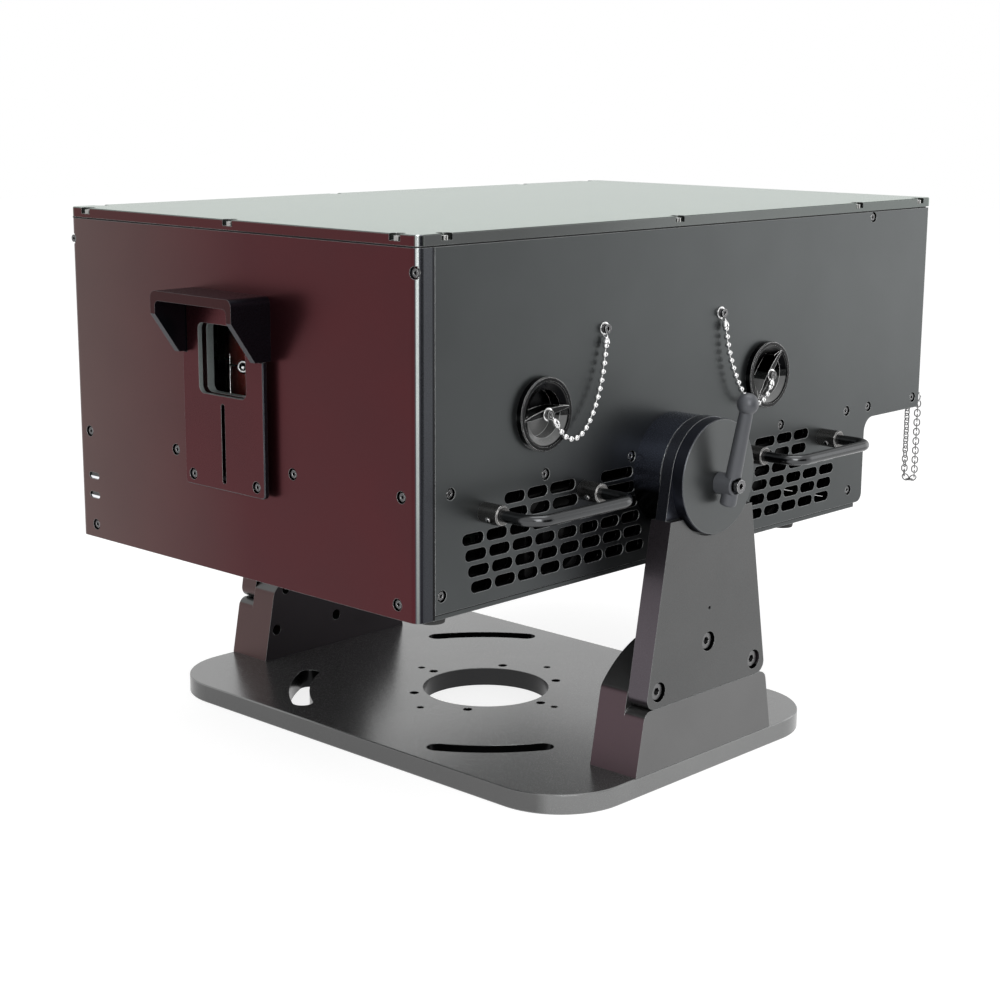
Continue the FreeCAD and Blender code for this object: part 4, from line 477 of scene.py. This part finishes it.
dress = {
    "panel_black": "side_panel_right side_panel_left",
    "cover_black": "bottom_cover rear_panel lower_rear_panel",
    "front_maroon_reflection": "front_panel",
    "plate_maroon_reflection": "aperture_plate",
    "hood_black": "aperture_hood",
    "lid_black": "top_lid",
    "base_black": "base_plate",
    "arm_black": "arm_right",
    "foot_black": "foot_block_right",
    "far_bracket_black": "foot_block_left arm_left",
    "drum_black": "pivot_drums",
    "disc_grey": "clamp_discs",
    "handle_steel": "handle_front_right handle_front_left handle_rear_right handle_rear_left",
    "collar_steel": "handle_collars",
    "dark_steel": "arm_screws base_screws",
    "screw_black": "panel_screws",
    "lid_screw_steel": "lid_screws",
    "clamp_steel": "clamp_screw_right clamp_screw_left",
    "bright_steel": "collar_set_screws chain_tabs tether_chain_front tether_chain_rear"
                    " dust_cap_chain",
    "lever_grey": "clamp_lever_right clamp_lever_left",
    "bare_aluminium": "mirror_mounts galvo_motors",
    "inner_black_and_shade": "power_supply optical_bench laser_modules galvo_block shutter_flag"
                   " shutter_solenoid mask_blade",
    "black_rubber": "housing_feet lid_gasket",
    "black_plastic": "port_cap_front port_cap_rear",
    "matt_plastic": "fan_frames fan_rotor_front fan_rotor_rear",
    "socket_plastic": "signal_sockets mains_inlet",
    "clear_glass": "output_window",
    "coated_mirror": "combiner_mirrors galvo_mirror_x galvo_mirror_y",
    "lit_lens": "indicator_lenses",
    "board_green": "driver_boards",
    "switch_steel": "key_switch key",
}
for look, names in dress.items():
    for name in names.split():
        skin = nodes[name].data.materials
        skin.clear()
        skin.append(looks[look])


# Making of shapes.
def piece(name, mesh, look, body):
    """A new piece of the object, riding on a body."""
    thing = bpy.data.objects.new(name, mesh)
    scene.collection.objects.link(thing)
    mesh.materials.append(looks[look])
    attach(thing, body)
    return thing


ROUTE_STEPS = 24
ROUTE_ORDER = 3


def route_line(name, points):
    """Points along the smooth line of a chain's route."""
    curve = bpy.data.curves.new(name, "CURVE")
    curve.dimensions = "3D"
    curve.resolution_u = ROUTE_STEPS
    spline = curve.splines.new("NURBS")
    spline.points.add(len(points) - 1)
    for control, point in zip(spline.points, points):
        control.co = (*point, 1.0)
    spline.order_u = ROUTE_ORDER
    spline.use_endpoint_u = True
    holder = bpy.data.objects.new(name, curve)
    mesh = bpy.data.meshes.new_from_object(holder)
    line = [vertex.co.copy() for vertex in mesh.vertices]
    bpy.data.meshes.remove(mesh)
    bpy.data.objects.remove(holder)
    bpy.data.curves.remove(curve)
    return line


def line_length(line):
    """Length of a run of points."""
    return sum((end - start).length for start, end in zip(line, line[1:]))


def along(line, distance):
    """The place and the direction at a distance along a run of points."""
    for start, end in zip(line, line[1:]):
        step = (end - start).length
        if distance <= step:
            return start.lerp(end, distance / step), (end - start).normalized()
        distance -= step
    return line[-1].copy(), (line[-1] - line[-2]).normalized()


X_AXIS = Vector((1.0, 0.0, 0.0))
Y_AXIS = Vector((0.0, 1.0, 0.0))
Z_AXIS = Vector((0.0, 0.0, 1.0))


def axes(place, direction, up=X_AXIS):
    """A frame at a place, whose Z runs along a direction and whose X leans to another."""
    side = (up - direction * up.dot(direction)).normalized()
    turn = Matrix((side, direction.cross(side), direction)).transposed().to_4x4()
    return Matrix.Translation(place) @ turn


def rings_of(shape, profile, matrix, sides):
    """Rings of points about the Z of a frame, one for each (radius, height) of a section."""
    rings = []
    for radius, height in profile:
        ring = []
        for step in range(sides):
            angle = 2.0 * math.pi * step / sides
            point = Vector((radius * math.cos(angle), radius * math.sin(angle), height))
            ring.append(shape.verts.new(matrix @ point))
        rings.append(ring)
    return rings


def bridge(shape, low, high):
    """Joins two rings of points with faces."""
    for step in range(len(low)):
        shape.faces.new((low[step], low[step - 1], high[step - 1], high[step]))


def turned(shape, profile, matrix, sides):
    """Adds a solid turned from a section of (radius, height) about the Z of a frame."""
    rings = rings_of(shape, profile, matrix, sides)
    for low, high in zip(rings, rings[1:]):
        bridge(shape, low, high)
    shape.faces.new(rings[0])
    shape.faces.new(list(reversed(rings[-1])))


def turned_ring(shape, profile, matrix, sides):
    """Adds a ring turned from a closed section of (radius, height) about the Z of a frame."""
    rings = rings_of(shape, profile, matrix, sides)
    for number, low in enumerate(rings):
        bridge(shape, low, rings[(number + 1) % len(rings)])


LOOP_BENDS = 8
WIRE_SIDES = 10
STRAIGHT = 1e-14


def oval(place, direction, up, length, width, wire):
    """The loop of an oval of wire, centred on a place."""
    matrix = axes(place, direction, up)
    half = width / 2.0 - wire
    reach = max(0.0, length / 2.0 - wire - half)
    path = []
    for sign in (1.0, -1.0):
        for step in range(LOOP_BENDS + 1):
            angle = math.pi * step / LOOP_BENDS + (0.0 if sign > 0 else math.pi)
            height = half * math.sin(angle) + sign * reach
            path.append(matrix @ Vector((half * math.cos(angle), 0.0, height)))
    return path


def ring_of_wire(shape, path, wire):
    """Adds a closed wire along a flat loop of points."""
    rings = []
    count = len(path)
    for step in range(count):
        ahead = (path[(step + 1) % count] - path[step - 1]).normalized()
        normal = (path[(step + 1) % count] - path[step]).cross(path[step] - path[step - 1])
        normal = normal.normalized() if normal.length > STRAIGHT else Z_AXIS.copy()
        rings.append((path[step], ahead, normal))
    flat = max((item[2] for item in rings), key=lambda item: item.length)
    loops = []
    for place, ahead, _ in rings:
        side = ahead.cross(flat).normalized()
        loop = []
        for turn in range(WIRE_SIDES):
            angle = 2.0 * math.pi * turn / WIRE_SIDES
            point = place + side * wire * math.cos(angle) + flat * wire * math.sin(angle)
            loop.append(shape.verts.new(point))
        loops.append(loop)
    for step in range(count):
        here, there = loops[step], loops[(step + 1) % count]
        for turn in range(WIRE_SIDES):
            shape.faces.new((here[turn - 1], here[turn], there[turn], there[turn - 1]))


def smooth_mesh(name, shape):
    """A mesh from a made shape, with smooth shading and its faces turned outwards."""
    bmesh.ops.recalc_face_normals(shape, faces=shape.faces)
    for face in shape.faces:
        face.smooth = True
    mesh = bpy.data.meshes.new(name)
    shape.to_mesh(mesh)
    shape.free()
    return mesh


# Ball chains.
BEAD = 0.00225
BEAD_PITCH = 0.0061
BEAD_HOLE = 0.0006
BEAD_STEPS = 12
BEAD_SIDES = 20
CHAIN_WIRE = 0.0004
CHAIN_WIRE_SIDES = 8
WIRES_PER_BEAD = 4


def bead_profile():
    """Half section of a bead: a ball with a rolled hole at each end."""
    start = math.asin(BEAD_HOLE / BEAD)
    angles = [start + (math.pi - 2.0 * start) * step / BEAD_STEPS for step in range(BEAD_STEPS + 1)]
    return [(BEAD * math.sin(angle), -BEAD * math.cos(angle)) for angle in angles]


def ball_chain(name, line):
    """A ball chain along a line: beads, and the wire that joins them."""
    shape = bmesh.new()
    length = line_length(line)
    count = round(length / BEAD_PITCH)
    pitch = length / count
    for number in range(count):
        place, direction = along(line, (number + 0.5) * pitch)
        turned(shape, bead_profile(), axes(place, direction), BEAD_SIDES)
    steps = count * WIRES_PER_BEAD
    ends = [along(line, length * step / steps)[0] for step in range(steps + 1)]
    for start, end in zip(ends, ends[1:]):
        run = end - start
        section = [(CHAIN_WIRE, 0.0), (CHAIN_WIRE, run.length)]
        turned(shape, section, axes(start, run.normalized()), CHAIN_WIRE_SIDES)
    return piece(name, smooth_mesh(name, shape), "bright_steel", "head")


# Routes of the ball chains in millimetres: out from the panel, and back and up from the middle of
# the port.
front_route = [
    (3.6, 62.0, 43.5), (4.3, 59.8, 31.5), (5.2, 56.3, 19.5), (6.2, 51.3, 7.5),
    (7.2, 44.8, -4.0), (8.2, 36.5, -14.0), (9.0, 26.5, -19.7), (9.3, 16.2, -18.5),
    (9.2, 9.0, -12.5), (8.8, 4.2, -5.5)]
rear_route = [
    (3.6, -57.2, 43.5), (4.3, -55.5, 31.5), (5.2, -52.6, 19.5), (6.2, -48.4, 8.0),
    (7.2, -43.0, -3.0), (8.2, -36.0, -12.5), (9.0, -26.8, -18.9), (9.3, -16.5, -19.1),
    (9.2, -8.8, -13.7), (8.8, -3.8, -5.9)]
MILLIMETRES = 1000.0

panel_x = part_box("side_panel_right")[1].x
chains = {}
for end, route, length in (("front", front_route, 0.1031), ("rear", rear_route, 0.1004)):
    low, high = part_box("port_cap_" + end)
    middle = (low + high) / 2.0
    points = [
        Vector((panel_x + out / MILLIMETRES, middle.y + back / MILLIMETRES,
                middle.z + up / MILLIMETRES))
        for out, back, up in route]
    line = route_line("tether_route_" + end, points)
    chain = ball_chain("tether_beads_" + end, line)
    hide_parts("tether_chain_" + end)
    chains[end] = line


# Link chain.
LINK_WIRE = 0.00052
LINK_WIDTH = 0.0058
LINK_LENGTH = 0.0072
LINK_OVERLAP = 6.0
LINK_TURN = 31.0
LINK_QUARTER = 90.0
LINK_TWIST = 45.0
TWIST_RATE = 5.0
TWIST_DELAY = 2.25


def link_chain(name, line):
    """A chain of oval links along a line, each a quarter turn from the last, with a slow twist."""
    shape = bmesh.new()
    length = line_length(line)
    pitch = LINK_LENGTH - LINK_OVERLAP * LINK_WIRE
    count = int(length / pitch)
    for number in range(count):
        place, direction = along(line, (number + 0.5) * length / count)
        twist = min(1.0, max(0.0, TWIST_RATE * number / count - TWIST_DELAY))
        turn = math.radians(LINK_TURN + LINK_TWIST * twist + LINK_QUARTER * (number % 2))
        up = Vector((math.cos(turn), math.sin(turn), 0.0))
        loop = oval(place, direction, up, LINK_LENGTH, LINK_WIDTH, LINK_WIRE)
        ring_of_wire(shape, loop, LINK_WIRE)
    return piece(name, smooth_mesh(name, shape), "link_steel", "head")


# Route of the link chain in millimetres: in from the right side, out from the rear face and up
# from the housing's foot.
link_route = [
    (4.4, 7.0, 76.0), (4.4, 7.0, 52.0), (4.4, 7.0, 14.0), (4.4, 7.0, 9.2), (9.4, 7.0, 6.0),
    (14.4, 7.0, 9.2), (14.4, 7.0, 14.0), (14.4, 7.0, 92.0)]
REAR_FACE = 0.341
HOUSING_BOTTOM = 0.1565

link_points = [
    Vector((panel_x - side / MILLIMETRES, REAR_FACE + back / MILLIMETRES,
            HOUSING_BOTTOM + rise / MILLIMETRES))
    for side, back, rise in link_route]
link_line = route_line("dust_cap_route", link_points)
links = link_chain("dust_cap_links", link_line)
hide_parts("dust_cap_chain")


# Ends of the ball chains: a ring under each screw, a wire eye and a bell that grips the last bead.
# Sections in millimetres.
RING_SECTION = [(2.25, 0.0), (4.5, 0.0), (4.7, 0.2), (4.7, 0.6), (4.5, 0.8), (2.25, 0.8)]
RING_SIDES = 32
BELL_SECTION = [
    (0.5, -3.2), (1.0, -3.1), (1.5, -2.6), (2.1, -1.4), (2.55, 0.2), (2.7, 1.4), (2.55, 1.7),
    (2.3, 1.5)]
BELL_SIDES = 24
BELL_NECK = 0.003
EYE_WIRE = 0.00045
EYE_WIDTH = 0.0032
EYE_HOLD = 0.0040
EYE_LIFT = 0.0004
EYE_OVERLAP = 0.0022
EYE_SHORTEST = 0.001
EYE_SPARE = 0.003


def metres(section):
    """A section with its millimetres as metres."""
    return [(radius / MILLIMETRES, height / MILLIMETRES) for radius, height in section]


def chain_end(shape, centre, end, direction):
    """A ring about a screw, an eye through it, and a bell round the end of a chain.

    The direction is the one in which the chain leaves its end.
    """
    turned_ring(shape, metres(RING_SECTION), axes(centre, X_AXIS, Y_AXIS), RING_SIDES)
    turned(shape, metres(BELL_SECTION), axes(end, direction), BELL_SIDES)
    neck = end - direction * BELL_NECK
    away = Vector((0.0, end.y - centre.y, end.z - centre.z)).normalized()
    hold = centre + away * EYE_HOLD + X_AXIS * EYE_LIFT
    span = neck - hold
    if span.length < EYE_SHORTEST:
        span = X_AXIS * EYE_SPARE
    length = span.length + EYE_OVERLAP
    loop = oval((neck + hold) / 2.0, span.normalized(), away, length, EYE_WIDTH, EYE_WIRE)
    ring_of_wire(shape, loop, EYE_WIRE)


ANCHOR_SHIFTS = {"front": 0.064, "rear": -0.0585}
ANCHOR_RISE = 0.052
CAP_SEAT = 0.0056
ends_shape = bmesh.new()
for end, line in chains.items():
    low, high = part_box("port_cap_" + end)
    middle = (low + high) / 2.0
    anchor = Vector((panel_x, middle.y + ANCHOR_SHIFTS[end], middle.z + ANCHOR_RISE))
    chain_end(ends_shape, anchor, line[0], (line[1] - line[0]).normalized())
    stud = Vector((panel_x + CAP_SEAT, middle.y, middle.z))
    chain_end(ends_shape, stud, line[-1], (line[-2] - line[-1]).normalized())

# The link chain hangs from a ring on a post in the rear panel.
hook_post = Vector((0.1756, REAR_FACE, 0.2405))
hook_section = [(2.4, 0.0), (2.4, 7.8), (3.2, 8.0), (3.2, 8.8), (2.6, 9.4)]
hook_sides = 24
hook_radius = 0.0047
hook_wire = 0.0008
hook_steps = 28
turned(ends_shape, metres(hook_section), axes(hook_post, Y_AXIS), hook_sides)
hook_middle = (hook_post + link_line[0]) / 2.0
hook_middle.y = link_line[0].y
hook_loop = []
for step in range(hook_steps):
    angle = 2.0 * math.pi * step / hook_steps
    hook_point = Vector((hook_radius * math.cos(angle), 0.0, hook_radius * math.sin(angle)))
    hook_loop.append(hook_middle + hook_point)
ring_of_wire(ends_shape, hook_loop, hook_wire)
ends_mesh = smooth_mesh("chain_ends", ends_shape)
chain_ends = piece("chain_ends", ends_mesh, "bright_steel", "head")
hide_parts("chain_tabs")


# Behind the window: an alignment post with its cross pins and thumb screw. Sections in millimetres.
post_section = [
    (6.0, 0.0), (6.0, 3.0), (5.2, 3.8), (1.2, 4.0), (0.7, 4.6), (0.7, 61.5), (0.4, 62.2)]
long_pin_section = [
    (0.5, 0.0), (1.0, 0.8), (1.0, 5.0), (1.6, 5.4), (1.6, 7.4), (1.0, 7.8), (1.0, 15.0),
    (1.4, 15.4), (1.4, 17.2)]
short_pin_section = [(0.8, 0.0), (0.8, 10.0), (2.0, 10.6), (2.0, 13.0)]
thumb_screw_section = [(3.8, 0.0), (4.7, 0.6), (4.7, 3.0), (4.1, 3.4), (2.8, 3.4), (2.4, 2.6)]
post_sides = 20
thumb_screw_sides = 24
bench_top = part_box("optical_bench")[1].z
post_place = Vector((-0.0395, -0.2262, bench_top))
long_pin_place = post_place + Vector((0.0005, 0.0, 0.0580))
short_pin_place = post_place + Vector((-0.0003, 0.0, 0.0540))
thumb_screw_place = post_place + Vector((0.0137, 0.0020, 0.0540))
thumb_screw_way = Vector((0.55, -0.835, 0.0))
post_shape = bmesh.new()
turned(post_shape, metres(post_section), axes(post_place, Z_AXIS), post_sides)
turned(post_shape, metres(long_pin_section), axes(long_pin_place, -X_AXIS, Z_AXIS), post_sides)
turned(post_shape, metres(short_pin_section), axes(short_pin_place, X_AXIS, Z_AXIS), post_sides)
turned(post_shape, metres(thumb_screw_section), axes(thumb_screw_place, thumb_screw_way, Z_AXIS),
       thumb_screw_sides)
post_mesh = smooth_mesh("alignment_post", post_shape)
piece("alignment_post", post_mesh, "post_chrome", "head")

# Behind the post, a red baffle. Its corners are across the object and up from the bench.
baffle_corners = [
    (-0.0495, 0.0), (-0.0185, 0.0), (-0.0185, 0.074), (-0.0225, 0.078), (-0.0455, 0.078),
    (-0.0495, 0.074)]
baffle_y = -0.2222
baffle_thickness = 0.0012
baffle_bevel = 0.0002
baffle_bevel_steps = 2
baffle_shape = bmesh.new()
front_ring, back_ring = [
    [baffle_shape.verts.new((x, y, bench_top + rise)) for x, rise in baffle_corners]
    for y in (baffle_y, baffle_y + baffle_thickness)]
baffle_shape.faces.new(front_ring)
baffle_shape.faces.new(list(reversed(back_ring)))
for number, (front, back) in enumerate(zip(front_ring, back_ring)):
    baffle_shape.faces.new((front, back, back_ring[number - 1], front_ring[number - 1]))
bmesh.ops.bevel(baffle_shape, geom=list(baffle_shape.edges), offset=baffle_bevel,
                segments=baffle_bevel_steps, affect="EDGES")
baffle_mesh = smooth_mesh("beam_baffle", baffle_shape)
piece("beam_baffle", baffle_mesh, "baffle_red", "head")


# Stage: floor, world and soft lights.
WHITE = (1.0, 1.0, 1.0, 1.0)
FLOOR_GLOW = 0.82
FLOOR_MATT = (0.4, 0.4, 0.4, 1.0)
FLOOR_PLAIN = (0.8, 0.8, 0.8, 1.0)
FLOOR_HALF = 6.0
FLOOR_DROP = 0.0002
SKY_UNSEEN = 0.5
SKY_SEEN = 1.0


def seen_rays(tree):
    """1 for the rays that show a thing, also in gloss and through glass, and 0 for the others."""
    rays = add(tree, "ShaderNodeLightPath").outputs
    seen = arithmetic(tree, "MAXIMUM", rays["Is Camera Ray"], rays["Is Glossy Ray"])
    return arithmetic(tree, "MAXIMUM", seen, rays["Is Transmission Ray"])


def floor_material():
    """Pale floor, white to the camera and in reflections, that keeps the object's shadow."""
    material = bpy.data.materials.new("pale_floor")
    material.use_nodes = True
    tree = material.node_tree
    tree.nodes.clear()
    glow = add(tree, "ShaderNodeEmission", {"Color": WHITE, "Strength": FLOOR_GLOW})
    matt = add(tree, "ShaderNodeBsdfDiffuse", {"Color": FLOOR_MATT})
    both = add(tree, "ShaderNodeAddShader", {0: glow.outputs[0], 1: matt.outputs[0]})
    plain = add(tree, "ShaderNodeBsdfDiffuse", {"Color": FLOOR_PLAIN})
    seen = seen_rays(tree)
    mix = add(tree, "ShaderNodeMixShader", {0: seen, 1: plain.outputs[0], 2: both.outputs[0]})
    out = add(tree, "ShaderNodeOutputMaterial")
    tree.links.new(mix.outputs[0], out.inputs["Surface"])
    return material


floor_corners = [(-FLOOR_HALF, -FLOOR_HALF, 0.0), (FLOOR_HALF, -FLOOR_HALF, 0.0),
                 (FLOOR_HALF, FLOOR_HALF, 0.0), (-FLOOR_HALF, FLOOR_HALF, 0.0)]
floor_mesh = bpy.data.meshes.new("floor")
floor_mesh.from_pydata(floor_corners, [], [(0, 1, 2, 3)])
floor = bpy.data.objects.new("floor", floor_mesh)
scene.collection.objects.link(floor)
floor.location.z = cad_box[0][2] - FLOOR_DROP
floor_mesh.materials.append(floor_material())

world = bpy.data.worlds.new("studio")
scene.world = world
world.cycles.sampling_method = "NONE"
world.use_nodes = True
sky = world.node_tree
sky.nodes.clear()
level = ramp(sky, seen_rays(sky), 0.0, 1.0, SKY_UNSEEN, SKY_SEEN)
backdrop = add(sky, "ShaderNodeBackground", {"Color": WHITE, "Strength": level})
sky_out = add(sky, "ShaderNodeOutputWorld")
sky.links.new(backdrop.outputs[0], sky_out.inputs["Surface"])


def soft_light(name, place, aim, width, height, power):
    """A rectangular soft light, aimed at a point and not seen by the camera."""
    lamp = bpy.data.lights.new(name, "AREA")
    lamp.shape = "RECTANGLE"
    lamp.size = width
    lamp.size_y = height
    lamp.energy = power
    thing = bpy.data.objects.new(name, lamp)
    scene.collection.objects.link(thing)
    turn = (Vector(aim) - Vector(place)).to_track_quat("-Z", "Y").to_matrix().to_4x4()
    thing.matrix_world = Matrix.Translation(place) @ turn
    thing.visible_camera = False


soft_light("top_light", place=(0.2, 0.3, 2.4), aim=(0.0, 0.04, 0.25),
           width=1.6, height=1.6, power=16.0)
soft_light("rear_light", place=(0.80, 1.50, 0.46), aim=(0.185, 0.2, 0.28),
           width=1.1, height=0.9, power=3.5)
soft_light("key_light", place=(1.52, -1.03, 1.0), aim=(0.12, -0.1, 0.25),
           width=0.9, height=1.2, power=16.0)


# Dark cards stand on the camera's side of the object. Only reflections show them.
CARD_STEPS = 16
CARD_MIDDLE = 0.1
CARD_COLOUR = (0.06, 0.06, 0.065, 1.0)
CARD_ROUGHNESS = 0.9


def dark_card(name, first, last, radius, low, high):
    """A curved standing card between two bearings in degrees, seen by gloss alone."""
    points = []
    for step in range(CARD_STEPS + 1):
        angle = math.radians(first + (last - first) * step / CARD_STEPS)
        for rise in (low, high):
            points.append((CARD_MIDDLE + radius * math.cos(angle), radius * math.sin(angle), rise))
    faces = [(2 * step, 2 * step + 1, 2 * step + 3, 2 * step + 2) for step in range(CARD_STEPS)]
    mesh = bpy.data.meshes.new(name)
    mesh.from_pydata(points, [], faces)
    card = bpy.data.objects.new(name, mesh)
    scene.collection.objects.link(card)
    material = bpy.data.materials.new(name)
    material.use_nodes = True
    shader = material.node_tree.nodes["Principled BSDF"]
    shader.inputs["Base Color"].default_value = CARD_COLOUR
    shader.inputs["Roughness"].default_value = CARD_ROUGHNESS
    mesh.materials.append(material)
    for unseen in ("visible_camera", "visible_diffuse", "visible_transmission", "visible_shadow"):
        setattr(card, unseen, False)


dark_card("side_card", first=-22.0, last=22.0, radius=1.0, low=0.0, high=0.6)
dark_card("camera_card", first=-57.0, last=-46.0, radius=1.25, low=0.3, high=0.8)

scene.view_settings.view_transform = "Standard"
